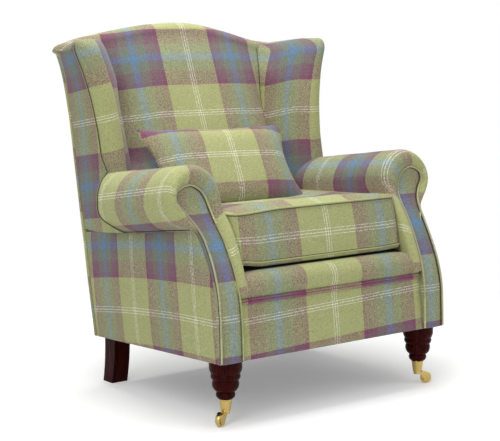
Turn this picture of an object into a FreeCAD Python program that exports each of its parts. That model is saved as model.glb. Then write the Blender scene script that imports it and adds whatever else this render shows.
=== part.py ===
import FreeCAD, Part
import math
import os

# Fireside wing chair with scroll arms, turned front legs on brass castors and swept back legs.
# Millimetres. +X is the sitter's left seen from the front, +Z is up, the chair faces -Y.
# "back" is a distance back from the foot of the front panels, "height" is above the floor.
# Every right-hand piece is drawn at +X and mirrored for the left.

os.makedirs("parts", exist_ok=True)

V = FreeCAD.Vector
FAR = 2000.0          # well outside the chair, for cutting shapes

# ---- body ----
HALF_BODY = 386.0     # half width of the base and of the side panels
BASE_FRONT = 168.0    # underside of the base at the front
BASE_REAR = 140.0     # and at the back, where it drops
BASE_LENGTH = 601.0   # length of the base along the floor
PANEL = 12.0          # padded board of each outside panel
BACK_RAKE = 11.0      # degrees the outside back leans
SEAM_GAP = 0.3        # air between two soft faces that only rest on each other

# ---- timber frame ----
RAIL_T = 28.0         # seat rails
WEB_FRONT = 325.0     # top of the seat rails at the front
SEAT_PITCH = 0.05     # fall of seat and rails towards the back
POST_T = 45.0         # front post, front to back
BACK_T = 35.0         # back frame, front to back
BACK_POST_W = 40.0    # back post, side to side
BACK_POST_TOP = 925.0
CREST_RAIL_H = 75.0
TACK_RAIL_Z = 400.0   # lower cross rail of the back
TACK_RAIL_H = 55.0
ARM_RAIL_W = 34.0
ARM_RAIL_H = 40.0
WING_RAIL_T = 22.0    # side to side
WING_RAIL_W = 30.0    # along its face
WING_RAIL_TOP = 900.0
BLOCK_LEG = 70.0      # legs of the triangular corner blocks
BLOCK_H = 45.0

# ---- webbing and seat ----
STRAP_W = 50.0
STRAP_T = 2.0
SEAT_STRAPS = 5
CROSS_STRAPS = 4
BACK_STRAPS = 4
PLATFORM_T = 74.0     # padded seat platform under the cushion
LIP_DEPTH = 60.0      # front of the platform, where the lip roll ends
LIP_RISE = 72.0       # height of the lip roll over the front rail
FACING_W = 69.0       # width of the arm facing at its foot
FACING_IN = HALF_BODY - FACING_W
ARM_PAD = 32.0        # thickness of the inner arm pad
SEAT_HALF = FACING_IN - ARM_PAD   # half the width between the inner arm faces

# ---- front ----
BORDER_FOOT = 3.0     # the flat front border stands this far back at its foot
BORDER_LEAN = 20.0    # and leans back this much
BORDER_TOP = 322.0
FACING_T = 18.0       # padded board of the arm facing
FRONT_LEAN = 138.0    # how far the arm front sweeps back
FRONT_SHAPE = [(0.0, 0.0), (0.05, 0.332), (0.217, 0.555), (0.53, 0.77),
               (0.884, 0.948), (1.0, 1.105), (1.014, 1.34)]
HEAD_Z = 550.0        # middle of the scroll head
FACING_SHAPE = [(69.0, -382.0), (68.2, -260.0), (67.0, -150.0), (64.0, -75.0), (58.0, -5.0),
                (41.0, 36.0), (6.0, 56.0), (-30.0, 45.0), (-40.0, 20.0), (-16.0, -16.0), (3.0, -58.0),
                (7.0, -110.0), (5.0, -180.0), (1.0, -270.0), (0.0, -382.0)]

# ---- arms ----
ARM_R = 83.0          # radius of the rolled arm
ARM_IN = 17.0         # the roll's middle is this far inside the side panel
ARM_X = HALF_BODY - ARM_IN
ARM_FRONT = 120.0     # front end of the roll
ARM_FRONT_Z = 577.0   # height of the roll's axis there
ARM_SLOPE = 0.135     # fall of the arm towards the back
ARM_NOSE = 34.0       # rounding of the roll's front end
ARM_PROUD = 4.0       # inner pad stands this far ahead of the facing
ARM_BACK = 600.0      # inner part of the arm ends here, under the wing
TAIL = 502.0          # rear end of the roll's outer part

# ---- wings ----
WING_R = 35.0         # half thickness of the wing's front roll
WING_BACK = 540.0     # middle of that roll at WING_LOW
WING_LEAN = 0.147     # it leans back by this share of its height
WING_LOW = 600.0
WING_HIGH = 950.0
WING_BOTTOM = 545.0   # the wing's padding reaches down beside the back
WING_TOP = 957.0
WING_FLARE = 43.0     # outward flare of the front roll at the top
REAR_FLARE = 24.0     # and of the rear corner
CREASE_IN = 169.0     # wing and inside back meet this far inside the side, at WING_LOW
CREASE_SPREAD = 0.13  # the crease moves outwards with height

# ---- back ----
CREST_Z = 1012.0      # highest point, in the middle of the crest
CREST_HALF = HALF_BODY + REAR_FLARE - 2.0
CREST_FALL = 67.0     # drop from the middle to the corners
CREST_SHAPE = [(0.0, 0.0), (0.25, 0.10), (0.5, 0.36), (0.7, 0.69), (0.82, 0.85), (1.0, 1.0)]
CREST_R = 29.0        # rounding of the crest roll
BACK_DROP = 45.0      # the outside back ends this far under the crest
INSIDE_FOOT = 530.0   # inside back behind the seat cushion, upright up to its top
INSIDE_Z = 530.0
INSIDE_SLOPE = 0.39   # and reclined from there

# ---- piping ----
PIPE_R = 3.2
PIPE_GAP = 0.3
NOSE = 7.7            # the facing's cord stands this far ahead of the panels' foot

# ---- front legs and castors ----
LEG_IN = 48.0         # its axis is this far inside the side
LEG_X = HALF_BODY - LEG_IN
LEG_BACK = 46.0
FLANGE_R = 42.5       # top of the turned leg
RING_R = 38.2
BULB_R = 34.8
NECK_R = 32.5
ANKLE_R = 24.8
CUP_Z = 68.0          # rim of the castor cup
CUP_BOTTOM = 36.0
CUP_R = 17.2
CUP_FOOT_R = 12.4
CUP_WALL = 2.0
SPIGOT_FIT = 0.2      # play between the leg's spigot and the cup
BOLT_R = 4.0
BOLT_IN_LEG = 30.0
BOLT_IN_FRAME = 40.0
WHEEL_R = 16.3
WHEEL_W = 12.0
HORN_REACH = 26.0     # wheel axle to swivel axis
CHEEK_T = 2.6
CHEEK_R = 10.5
WHEEL_PLAY = 1.0      # air round the wheel inside its horn
BOSS_R = 10.5
BOSS_Z = 28.6
SWIVEL_PIN_R = 3.6
AXLE_R = 2.5
RUNNING = 0.06        # radial play of pins in their holes
TRAIL_ANGLE = -22.0   # degrees; the right-hand castor trails outwards and a little forwards
SCREW_R = 1.6

# ---- back legs ----
BACK_LEG_W = 51.0
BACK_LEG_IN = 41.0    # its outer face is this far inside the side
BACK_LEG_OUT = HALF_BODY - BACK_LEG_IN
BACK_LEG_BACK = 558.0
BACK_LEG_SWEEP = 16.0
BACK_LEG_TAPER = 5.0

# ---- loose cushions ----
CUSHION_PLAY = 9.0    # room for its cord beside each arm
CUSHION_HALF = SEAT_HALF - CUSHION_PLAY
CUSHION_FRONT = 58.0
CUSHION_BACK = 515.0
CUSHION_H = 136.0
CUSHION_LEAN = 24.0   # the front border leans back over its height
CUSHION_CORNER = 30.0
LUMBAR_IN = 26.0      # it is this much shorter than the seat at each end
LUMBAR_W = 2 * (CUSHION_HALF - LUMBAR_IN)
LUMBAR_H = 246.0
LUMBAR_T = 120.0
LUMBAR_LEAN = 31.0    # degrees from upright
LUMBAR_BACK = 477.0   # middle of the cushion
LUMBAR_Z = 627.8

TAN_RAKE = math.tan(math.radians(BACK_RAKE))
COS_RAKE = math.cos(math.radians(BACK_RAKE))


# ---------------------------------------------------------------- the chair's main lines
def base_z(back):
    """Underside of the base."""
    return BASE_FRONT - (BASE_FRONT - BASE_REAR) * back / BASE_LENGTH


def rear(height, inset=0.0):
    """The raked outside back, or a plane that far inside it."""
    return BASE_LENGTH + (height - BASE_REAR) * TAN_RAKE - inset / COS_RAKE


def rail_top(back):
    return WEB_FRONT - SEAT_PITCH * back


def deck_z(back):
    """Top of the padded seat platform."""
    return rail_top(back) + 2 * STRAP_T + PLATFORM_T


def arm_z(back):
    """Axis of the rolled arm."""
    return ARM_FRONT_Z - ARM_SLOPE * (back - ARM_FRONT)


def seam_z(back):
    """Seam under the rolled arm, where the side panel ends."""
    return arm_z(back) - ARM_R * math.hypot(1.0, ARM_SLOPE) - SEAM_GAP


def inside(height):
    """Front of the inside back's padding."""
    return INSIDE_FOOT + INSIDE_SLOPE * max(0.0, height - INSIDE_Z)


def crest_z(x):
    """Height of the crest over the outside back, a shallow double curve."""
    share = abs(x) / CREST_HALF
    for (x0, f0), (x1, f1) in zip(CREST_SHAPE, CREST_SHAPE[1:]):
        if share <= x1:
            return CREST_Z - CREST_FALL * (f0 + (f1 - f0) * (share - x0) / (x1 - x0))
    return CREST_Z - CREST_FALL


def wing_share(height):
    return max(0.0, (height - WING_LOW) / (WING_HIGH - WING_LOW))


def wing_x(height):
    """Middle of the wing's front roll, which flares outwards."""
    return HALF_BODY - WING_R + WING_FLARE * wing_share(height) ** 2


def wing_back(height):
    return WING_BACK + WING_LEAN * (height - WING_LOW)


def rear_x(height):
    """Outer rear corner of the back."""
    return HALF_BODY + REAR_FLARE * wing_share(height) ** 4


def crease_x(height):
    return HALF_BODY - CREASE_IN + CREASE_SPREAD * (height - WING_LOW)


TAIL_CURVE = [(TAIL - 62.0, arm_z(TAIL) - 0.9 * ARM_R), (TAIL - 6.0, arm_z(TAIL) - 0.45 * ARM_R),
              (TAIL, arm_z(TAIL) + 0.2 * ARM_R), (TAIL + 18.0, WING_LOW)]
ORIGIN_BACK = (rear(CREST_Z - CREST_R) - NOSE) / 2
FRONT_LINE = [(FRONT_LEAN * b, BASE_FRONT + (HEAD_Z - BASE_FRONT) * h) for b, h in FRONT_SHAPE]
FACING_RISE = (HEAD_Z - BASE_FRONT) / -FACING_SHAPE[0][1]
FACING_EDGE = [(HALF_BODY - inset, HEAD_Z + FACING_RISE * rise) for inset, rise in FACING_SHAPE]


# ---------------------------------------------------------------- drawing helpers
def side_view(x):
    return lambda back, height: V(x, back - ORIGIN_BACK, height)


def front_view(back):
    return lambda x, height: V(x, back - ORIGIN_BACK, height)


def plan_view(height):
    return lambda x, back: V(x, back - ORIGIN_BACK, height)


def spline(points):
    curve = Part.BSplineCurve()
    curve.interpolate(points)
    return curve


def face(place, start, *steps):
    """A flat face. A step is a point for a straight run, or ("arc"|"curve", points...)."""
    here = start
    edges = []
    for step in steps + (start,):
        kind, points = (step[0], step[1:]) if isinstance(step[0], str) else ("run", (step,))
        places = [place(*point) for point in (here,) + tuple(points)]
        if kind == "run" and places[0].distanceToPoint(places[1]) > 1e-6:
            edges.append(Part.makeLine(*places))
        elif kind == "arc":
            edges.append(Part.Arc(*places).toShape())
        elif kind == "curve":
            edges.append(spline(places).toShape())
        here = points[-1]
    return Part.Face(Part.Wire(edges))


def across(outline, x0, x1, *steps):
    """A side-view outline pushed from x0 to x1."""
    return face(side_view(x0), outline, *steps).extrude(V(x1 - x0, 0, 0))


def bar(x0, x1, *outline):
    return across(outline[0], x0, x1, *outline[1:])


def cord(points, radius=PIPE_R):
    """A round cord along a smooth curve."""
    curve = spline(points)
    ring = Part.Wire(Part.makeCircle(radius, points[0], curve.tangent(curve.FirstParameter)[0]))
    return Part.Wire(curve.toShape()).makePipeShell([ring], True, False)


def turned(profile, x, back):
    """A shape turned on the lathe about an upright axis, from (radius, height) points and arcs."""
    upright = face(lambda r, h: V(r, 0, h), *profile)
    solid = upright.revolve(V(0, 0, 0), V(0, 0, 1), 360)
    solid.translate(V(x, back - ORIGIN_BACK, 0))
    return solid


def mirrored(shape):
    return shape.mirror(V(0, 0, 0), V(1, 0, 0))


def save(name, *shapes):
    solids = [solid for shape in shapes for solid in shape.Solids]
    body = solids[0] if len(solids) == 1 else Part.makeCompound(solids)
    body.exportStep(f"parts/{name}.step")


def save_pair(name, *shapes):
    save(name + "_right", *shapes)
    save(name + "_left", *[mirrored(shape) for shape in shapes])


# ---------------------------------------------------------------- cutting shapes
def ahead_of_front(inset):
    """Everything in front of the swept arm front, set back by inset."""
    line = [(back + inset, height) for back, height in FRONT_LINE]
    return across((-FAR, line[0][1] - FAR), -FAR, FAR, (line[0][0], line[0][1] - FAR), line[0],
                  ("curve", *line[1:]), (line[-1][0], FAR), (-FAR, FAR))


def behind_back(inset):
    """Everything behind the raked back plane, set forward by inset."""
    return bar(-FAR, FAR, (rear(-FAR, inset), -FAR), (rear(FAR, inset), FAR),
               (2 * FAR, FAR), (2 * FAR, -FAR))


def above_base():
    return bar(-FAR, FAR, (-FAR, base_z(-FAR)), (FAR, base_z(FAR)), (FAR, FAR), (-FAR, FAR))


def above_rails():
    return bar(-FAR, FAR, (-FAR, rail_top(-FAR)), (FAR, rail_top(FAR)), (FAR, FAR), (-FAR, FAR))


def behind_tail(x0, x1):
    """Everything behind the rounded rear end of the arm roll."""
    low = (TAIL_CURVE[0][0] - 30.0, TAIL_CURVE[0][1] - ARM_R)
    high = (TAIL_CURVE[-1][0], WING_LOW + ARM_R)
    return across(low, x0, x1, TAIL_CURVE[0], ("curve", *TAIL_CURVE[1:]), high, (FAR, FAR),
                  (FAR, low[1]))


# ---------------------------------------------------------------- timber frame
def front_post():
    top = arm_z(ARM_FRONT) - ARM_RAIL_H / 2
    block = bar(FACING_IN, HALF_BODY - PANEL, (-10, base_z(-10)), (-10, top), (FAR, top),
                (FAR, base_z(FAR)))
    return block.cut(ahead_of_front(FACING_T)).common(ahead_of_front(FACING_T + POST_T))


def raked(x0, x1, low, high):
    """Timber of the back frame, leaning with it."""
    inner, outer = PANEL + BACK_T, PANEL
    return bar(x0, x1, (rear(low, inner), low), (rear(high, inner), high),
               (rear(high, outer), high), (rear(low, outer), low))


def back_post():
    inner = HALF_BODY - PANEL - BACK_POST_W
    return raked(inner, HALF_BODY - PANEL, BASE_REAR - BACK_T, BACK_POST_TOP).common(above_base())


def side_rail():
    x1 = HALF_BODY - PANEL
    block = bar(x1 - RAIL_T, x1, (0, base_z(0)), (0, rail_top(0)), (FAR, rail_top(FAR)),
                (FAR, base_z(FAR)))
    return block.cut(ahead_of_front(FACING_T + POST_T)).cut(behind_back(PANEL + BACK_T))


def border_line(height):
    """Front of the flat border."""
    share = (height - BASE_FRONT) / (BORDER_TOP - BASE_FRONT)
    return BORDER_FOOT + BORDER_LEAN * share


def front_rail():
    low = border_line(BASE_FRONT) + PANEL
    high = border_line(WEB_FRONT) + PANEL
    return bar(-FACING_IN, FACING_IN, (low, base_z(low)), (high, rail_top(high)),
               (high + RAIL_T, rail_top(high + RAIL_T)), (low + RAIL_T, base_z(low + RAIL_T)))


def cross_rail(low, high):
    """A rail between the back posts, from height low to height high."""
    half = HALF_BODY - PANEL - BACK_POST_W
    return raked(-half, half, low, high)


def back_rail():
    return cross_rail(BASE_REAR - BACK_T, WEB_FRONT).common(above_base()).cut(above_rails())


def crest_outline(drop, half):
    """Crest curve in front view, lowered by drop, from -half to half."""
    shares = [-1.0, -0.75, -0.5, -0.25, 0.0, 0.25, 0.5, 0.75, 1.0]
    return [(half * share, crest_z(half * share) - drop) for share in shares]


def crest_rail():
    half = HALF_BODY - PANEL - BACK_POST_W
    top = crest_outline(BACK_DROP, half)
    low = top[0][1] - CREST_RAIL_H / 2
    block = face(front_view(0), (-half, low), top[0], ("curve", *top[1:]), (half, low))
    block = block.extrude(V(0, FAR, 0))
    return block.common(behind_back(PANEL + BACK_T)).cut(behind_back(PANEL))


def arm_rail():
    x1 = HALF_BODY - PANEL
    half = ARM_RAIL_H / 2
    block = bar(x1 - ARM_RAIL_W, x1, (0, arm_z(0) - half), (0, arm_z(0) + half - 15.0),
                (FAR, arm_z(FAR) + half - 15.0), (FAR, arm_z(FAR) - half))
    return block.cut(ahead_of_front(FACING_T + POST_T)).cut(behind_back(PANEL + BACK_T))


def wing_rail():
    """Front upright of the wing, standing on the arm rail, and its top rail to the back post."""
    x1 = HALF_BODY - PANEL
    seat = arm_z(WING_BACK) + ARM_RAIL_H / 2 - 15.0
    under = WING_RAIL_TOP - WING_RAIL_W
    front = -WING_RAIL_W / 2
    foot = [wing_back(seat) + front, wing_back(seat) - front]
    joint = PANEL + BACK_T
    rise = ARM_RAIL_H / 2 - 15.0
    return bar(x1 - WING_RAIL_T, x1, (foot[0], arm_z(foot[0]) + rise),
               (wing_back(WING_RAIL_TOP) + front, WING_RAIL_TOP),
               (rear(WING_RAIL_TOP, joint), WING_RAIL_TOP), (rear(under, joint), under),
               (wing_back(under) - front, under), (foot[1], arm_z(foot[1]) + rise))


def corner_blocks():
    """Triangular blocks glued into the four inner corners of the seat frame."""
    front = border_line(WEB_FRONT) + PANEL + RAIL_T
    back = rear(BASE_REAR, PANEL + BACK_T)
    x = HALF_BODY - PANEL - RAIL_T
    blocks = []
    for corner, along in ((front, 1), (back, -1)):
        z = base_z(corner) + BLOCK_H / 2
        start = corner + (ARM_PAD if along > 0 else -SEAM_GAP)
        block = face(plan_view(z), (x, start), (x - BLOCK_LEG, start),
                     (x, start + along * BLOCK_LEG)).extrude(V(0, 0, BLOCK_H))
        blocks += [block, mirrored(block)]
    return blocks


# ---------------------------------------------------------------- webbing and seat platform
def spread(count, width, low, high):
    """Middles of evenly spread straps between two limits."""
    step = (high - low - width) / (count - 1)
    return [low + width / 2 + step * index for index in range(count)]


def seat_webbing():
    """Straps from front to back over the rails, with cross straps lying on them."""
    front = border_line(WEB_FRONT) + PANEL
    back = rear(rail_top(BASE_LENGTH), PANEL + STRAP_T)
    straps = []
    for x in spread(SEAT_STRAPS, STRAP_W, -SEAT_HALF + STRAP_W / 2, SEAT_HALF - STRAP_W / 2):
        straps.append(bar(x - STRAP_W / 2, x + STRAP_W / 2, (front, rail_top(front)),
                          (front, rail_top(front) + STRAP_T), (back, rail_top(back) + STRAP_T),
                          (back, rail_top(back))))
    half = HALF_BODY - PANEL
    for middle in spread(CROSS_STRAPS, STRAP_W, LIP_DEPTH + STRAP_W, back - 2 * STRAP_W):
        ends = [middle - STRAP_W / 2, middle + STRAP_W / 2]
        straps.append(bar(-half, half, *[(b, rail_top(b) + STRAP_T) for b in ends],
                          *[(b, rail_top(b) + 2 * STRAP_T) for b in reversed(ends)]))
    return straps


def back_webbing():
    """Level straps tacked across the back posts."""
    half = HALF_BODY - PANEL - BACK_POST_W / 4
    face_at = PANEL + BACK_T
    straps = []
    low = arm_z(ARM_BACK) + ARM_RAIL_H / 2
    for z in spread(BACK_STRAPS, STRAP_W, low, crest_z(CREST_HALF) - BACK_DROP * 2):
        ends = [z - STRAP_W / 2, z + STRAP_W / 2]
        straps.append(bar(-half, half, *[(rear(h, face_at), h) for h in ends],
                          *[(rear(h, face_at + STRAP_T), h) for h in reversed(ends)]))
    return straps


def seat_platform():
    back = inside(deck_z(INSIDE_FOOT))
    return bar(-SEAT_HALF, SEAT_HALF, (LIP_DEPTH, rail_top(LIP_DEPTH) + 2 * STRAP_T),
               (LIP_DEPTH, deck_z(LIP_DEPTH)), (back, deck_z(back)),
               (back, rail_top(back) + 2 * STRAP_T))


# ---------------------------------------------------------------- front
def front_border():
    low, high = border_line(BASE_FRONT), border_line(BORDER_TOP)
    return bar(-FACING_IN, FACING_IN, (low, base_z(low)), (high, BORDER_TOP),
               (high + PANEL, BORDER_TOP), (low + PANEL, base_z(low + PANEL)))


def front_lip():
    """Rounded roll of padding over the front rail."""
    foot = border_line(WEB_FRONT)
    sill = rail_top(foot) + STRAP_T
    top = sill + LIP_RISE
    return across((foot, sill), -SEAT_HALF, SEAT_HALF,
                  ("curve", (foot - 8.0, sill + 0.35 * LIP_RISE), (foot + 2.0, sill + 0.8 * LIP_RISE),
                   (foot + 20.0, top)),
                  (LIP_DEPTH, deck_z(LIP_DEPTH)), (LIP_DEPTH, sill))


def lip_piping():
    """Two cords side by side under the lip."""
    rows = []
    for row in (0, 1):
        z = BORDER_TOP - PIPE_R - row * (2 * PIPE_R + PIPE_GAP)
        back = border_line(z) - PIPE_R - PIPE_GAP
        start = V(-FACING_IN + PIPE_R, back - ORIGIN_BACK, z)
        rows.append(Part.makeCylinder(PIPE_R, 2 * (FACING_IN - PIPE_R), start, V(1, 0, 0)))
    return rows


def facing_block(grow=0.0):
    """The facing's outline, grown all round, pushed from far ahead to the back of the board."""
    curve = spline([V(x, 0, z) for x, z in FACING_EDGE])
    edge = []
    for x, z in FACING_EDGE:
        along = curve.tangent(curve.parameter(V(x, 0, z)))[0]
        edge.append((x - along.z * grow, z + along.x * grow))
    outline = face(front_view(-FAR), edge[0], ("curve", *edge[1:]))
    return outline.extrude(V(0, 2 * FAR, 0)).common(ahead_of_front(FACING_T))


def arm_facing():
    """Curved board with a scroll head, which the padding of the roll surrounds."""
    return facing_block().cut(ahead_of_front(0.0))


def front_back(height):
    """Back distance of the swept front at a height, from the same curve as the facing."""
    curve = spline([V(back, 0, z) for back, z in FRONT_LINE])
    level = Part.Plane(V(0, 0, height), V(0, 0, 1))
    return curve.intersect(level)[0][0].X


def facing_piping():
    """Cord lying on the facing along its outline, from foot to foot."""
    path = []
    for point in spline([V(x, 0, z) for x, z in FACING_EDGE]).toShape().discretize(Number=28):
        z = max(point.z, BASE_FRONT + PIPE_R)
        slope = (front_back(z + 2.0) - front_back(z - 2.0)) / 4.0
        lift = (PIPE_R + PIPE_GAP) / math.hypot(1.0, slope)
        path.append(V(point.x, front_back(z) - lift - ORIGIN_BACK, z + lift * slope))
    return cord(path)


# ---------------------------------------------------------------- sides and arms
def outside_arm():
    x1 = HALF_BODY
    panel = bar(x1 - PANEL, x1, (-10, base_z(-10)), (-10, seam_z(-10)), (FAR, seam_z(FAR)),
                (FAR, base_z(FAR)))
    return panel.cut(ahead_of_front(FACING_T)).cut(behind_back(PANEL))


def arm_roll(solid_neighbours):
    """Inner pad and rolled top of one arm, one piece of padding over the timber."""
    length = (ARM_BACK - ARM_FRONT) * math.hypot(1.0, ARM_SLOPE)
    start = V(ARM_X, ARM_FRONT - ORIGIN_BACK, ARM_FRONT_Z)
    roll = Part.makeCylinder(ARM_R, length, start, V(0, 1, -ARM_SLOPE))
    nose = min(roll.Edges, key=lambda edge: edge.CenterOfMass.y)
    roll = roll.makeFillet(ARM_NOSE, [nose])
    roll = roll.cut(behind_tail(HALF_BODY - PANEL, FAR))
    pad = bar(SEAT_HALF, SEAT_HALF + ARM_PAD, (-10, rail_top(-10) + 2 * STRAP_T),
              (-10, arm_z(-10)), (ARM_BACK, arm_z(ARM_BACK)),
              (ARM_BACK, rail_top(ARM_BACK) + 2 * STRAP_T))
    pad = pad.cut(ahead_of_front(-ARM_PROUD))
    arm = roll.fuse(pad)
    for piece in solid_neighbours:
        arm = arm.cut(piece)
    return arm


# ---------------------------------------------------------------- wings
def wing_section(height, radius):
    """Plan outline of a wing: round front roll, slanting inner face, flat outer face."""
    x, back, bend = wing_x(height), wing_back(height), rear(height, PANEL)
    shrink = WING_R - radius
    crease = crease_x(height) + shrink
    inner = (x - 0.58 * radius, back - 0.81 * radius)
    edge = x + radius
    return face(plan_view(height), (edge, back), ("arc", (x + 0.17 * radius, back - 0.985 * radius), inner),
                (crease, inside(height)), (crease, bend), (rear_x(height) - shrink, bend)).OuterWire


def wing_levels(top, low=WING_LOW):
    """Heights at which the wing's outline is drawn."""
    return [low + (top - low) * share for share in (0.0, 0.3, 0.55, 0.79, 1.0)]


def wing_form():
    """The whole wing as it looks from outside, with a rounded top."""
    levels = [(WING_BOTTOM, WING_R)] + [(z, WING_R) for z in wing_levels(WING_TOP - WING_R)]
    levels += [(WING_TOP - 0.27 * WING_R, 0.74 * WING_R), (WING_TOP, 0.43 * WING_R)]
    return Part.makeLoft([wing_section(z, r) for z, r in levels], True, True)


def outside_wing():
    """Flat padded panel from the wing's seam back to the corner, down to the arm's lower seam."""
    wires = []
    top = WING_TOP - 0.4 * WING_R
    for z in wing_levels(top):
        x, back, bend, corner = wing_x(z) + WING_R, wing_back(z), rear(z, PANEL), rear_x(z)
        wires.append(face(plan_view(z), (x, back), (corner, bend), (corner - PANEL, bend),
                          (x - PANEL, back)).OuterWire)
    upper = Part.makeLoft(wires, True, True)
    lower = bar(HALF_BODY - PANEL, HALF_BODY, (0, seam_z(0)), (0, WING_LOW), (FAR, WING_LOW),
                (FAR, seam_z(FAR)))
    lower = lower.common(behind_tail(-FAR, FAR)).cut(behind_back(PANEL))
    return upper.fuse(lower).removeSplitter()


def wing(solid_neighbours):
    shape = wing_form()
    for piece in solid_neighbours:
        shape = shape.cut(piece)
    return shape


def wing_piping():
    """Cord down the wing's outer seam and on round the rear end of the arm roll."""
    out = PIPE_R + 4 * PIPE_GAP
    heights = wing_levels(WING_TOP - WING_R, WING_LOW + 0.6 * ARM_R)
    path = [V(wing_x(z) + WING_R + out, wing_back(z) - ORIGIN_BACK, z) for z in reversed(heights)]
    tail = spline([side_view(HALF_BODY + out)(back, z) for back, z in reversed(TAIL_CURVE)])
    span = tail.LastParameter - tail.FirstParameter
    for step in range(7):
        place = tail.FirstParameter + span * step / 6
        along = tail.tangent(place)[0]
        path.append(tail.value(place) + V(0, -along.z, along.y) * out)
    return cord(path)


# ---------------------------------------------------------------- back
def outside_back():
    top = [(x, z) for x, z in crest_outline(BACK_DROP, CREST_HALF - BACK_DROP)]
    shoulder = WING_TOP - 20.0
    edge = [(rear_x(z), z) for z in wing_levels(shoulder)[1:]]
    left = [(-x, z) for x, z in edge]
    block = face(front_view(0), (-HALF_BODY, BASE_REAR), (-HALF_BODY, WING_LOW),
                 ("curve", *left), top[0], ("curve", *top[1:]), edge[-1],
                 ("curve", *reversed(edge[:-1]), (HALF_BODY, WING_LOW)), (HALF_BODY, BASE_REAR))
    block = block.extrude(V(0, FAR, 0)).common(behind_back(PANEL)).cut(behind_back(0.0))
    return block.common(above_base())


def inside_back(solid_neighbours):
    """Padding of the inside back, with a roll over the crest that follows its curve."""
    rest = PANEL + BACK_T + STRAP_T
    low = deck_z(INSIDE_FOOT)
    wires = []
    for share in (-1.0, -0.67, -0.33, 0.0, 0.33, 0.67, 1.0):
        x = SEAT_HALF * share
        top = crest_z(x)
        step, under = top - BACK_DROP - CREST_RAIL_H / 2, top - BACK_DROP
        round_z = top - CREST_R
        front, back = inside(round_z), rear(round_z)
        middle = ((front + back) / 2, top)
        wires.append(face(side_view(x), (inside(INSIDE_Z), INSIDE_Z), (inside(low), low),
                          (rear(low, rest), low),
                          (rear(step, rest), step), (rear(under, rest), under), (rear(under), under),
                          (back, round_z), ("arc", middle, (front, round_z))).OuterWire)
    shape = Part.makeLoft(wires, True, False)
    for piece in solid_neighbours:
        shape = shape.cut(piece)
    return shape


def dust_cover(legs):
    inset = PANEL
    back = rear(BASE_REAR) - inset
    sheet = bar(-HALF_BODY + inset, HALF_BODY - inset, (PANEL, base_z(PANEL)), (back, base_z(back)),
                (back, base_z(back) - 1.5), (PANEL, base_z(PANEL) - 1.5))
    for leg in legs:
        sheet = sheet.cut(leg)
    return max(sheet.Solids, key=lambda solid: solid.Volume)


# ---------------------------------------------------------------- legs
def front_leg():
    """Turned leg: flange, ring, bulb, ankle ring and the spigot that goes into the castor cup."""
    top = BASE_FRONT + 5.0
    spigot = CUP_R - CUP_WALL - SPIGOT_FIT
    tip = CUP_FOOT_R - CUP_WALL - SPIGOT_FIT
    floor = CUP_BOTTOM + CUP_WALL + 8.0
    profile = [(0, floor), (tip, floor), (spigot, CUP_Z), (ANKLE_R - 4.5, CUP_Z + 1.5),
               ("arc", (ANKLE_R, CUP_Z + 10.0), (ANKLE_R - 2.5, CUP_Z + 18.0)),
               ("arc", (BULB_R, CUP_Z + 37.0), (NECK_R, CUP_Z + 49.0)),
               ("arc", (RING_R, CUP_Z + 57.0), (NECK_R + 4.0, CUP_Z + 65.0)),
               ("arc", (FLANGE_R - 2.0, CUP_Z + 72.0), (FLANGE_R, CUP_Z + 84.0)),
               (FLANGE_R, top), (0, top)]
    return turned(profile, LEG_X, LEG_BACK).cut(above_base())


def back_leg():
    """Square leg swept backwards, slightly tapered to its foot."""
    x0, x1 = BACK_LEG_OUT - BACK_LEG_W, BACK_LEG_OUT
    top = BASE_FRONT
    back = BACK_LEG_BACK
    foot = back + BACK_LEG_SWEEP
    middle = (back + 0.25 * BACK_LEG_SWEEP, 0.45 * BASE_REAR)
    width = BACK_LEG_W
    leg = across((back, top), x0, x1, (back, BASE_REAR), ("arc", middle, (foot, 0.0)),
                 (foot + width - BACK_LEG_TAPER, 0.0),
                 ("arc", (middle[0] + width - BACK_LEG_TAPER / 2, middle[1]), (back + width, BASE_REAR)),
                 (back + width, top))
    return leg.cut(above_base())


def leg_bolt(x, back):
    z = base_z(back)
    return Part.makeCylinder(BOLT_R, BOLT_IN_LEG + BOLT_IN_FRAME,
                             V(x, back - ORIGIN_BACK, z - BOLT_IN_LEG), V(0, 0, 1))


# ---------------------------------------------------------------- castors
def castor_cup():
    """Tapered brass cup round the leg's end, with a rolled rim and a bored floor."""
    bore = SWIVEL_PIN_R + RUNNING
    profile = [(bore, CUP_BOTTOM), (CUP_FOOT_R, CUP_BOTTOM), (CUP_R - 0.6, CUP_Z - 4.0),
               ("arc", (CUP_R + 0.6, CUP_Z - 2.0), (CUP_R - 0.6, CUP_Z)), (CUP_R - CUP_WALL, CUP_Z),
               (CUP_FOOT_R - CUP_WALL, CUP_BOTTOM + CUP_WALL), (bore, CUP_BOTTOM + CUP_WALL)]
    return turned(profile, LEG_X, LEG_BACK)


def castor_screws():
    """Two small screws through each cup into the leg."""
    z = (CUP_Z + CUP_BOTTOM) / 2 + 8.0
    radius = CUP_FOOT_R + (CUP_R - CUP_FOOT_R) * (z - CUP_BOTTOM) / (CUP_Z - CUP_BOTTOM)
    screws = []
    for way in (-1, 1):
        start = V(LEG_X + way * (radius + 0.8), LEG_BACK - ORIGIN_BACK, z)
        screws.append(Part.makeCylinder(SCREW_R, CUP_WALL + 8.0, start, V(-way, 0, 0)))
    return screws


def trail(shape):
    """Turn a castor piece, drawn trailing along +X from the axis at the origin, into place."""
    shape.rotate(V(0, 0, 0), V(0, 0, 1), TRAIL_ANGLE)
    shape.translate(V(LEG_X, LEG_BACK - ORIGIN_BACK, 0))
    return shape


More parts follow.
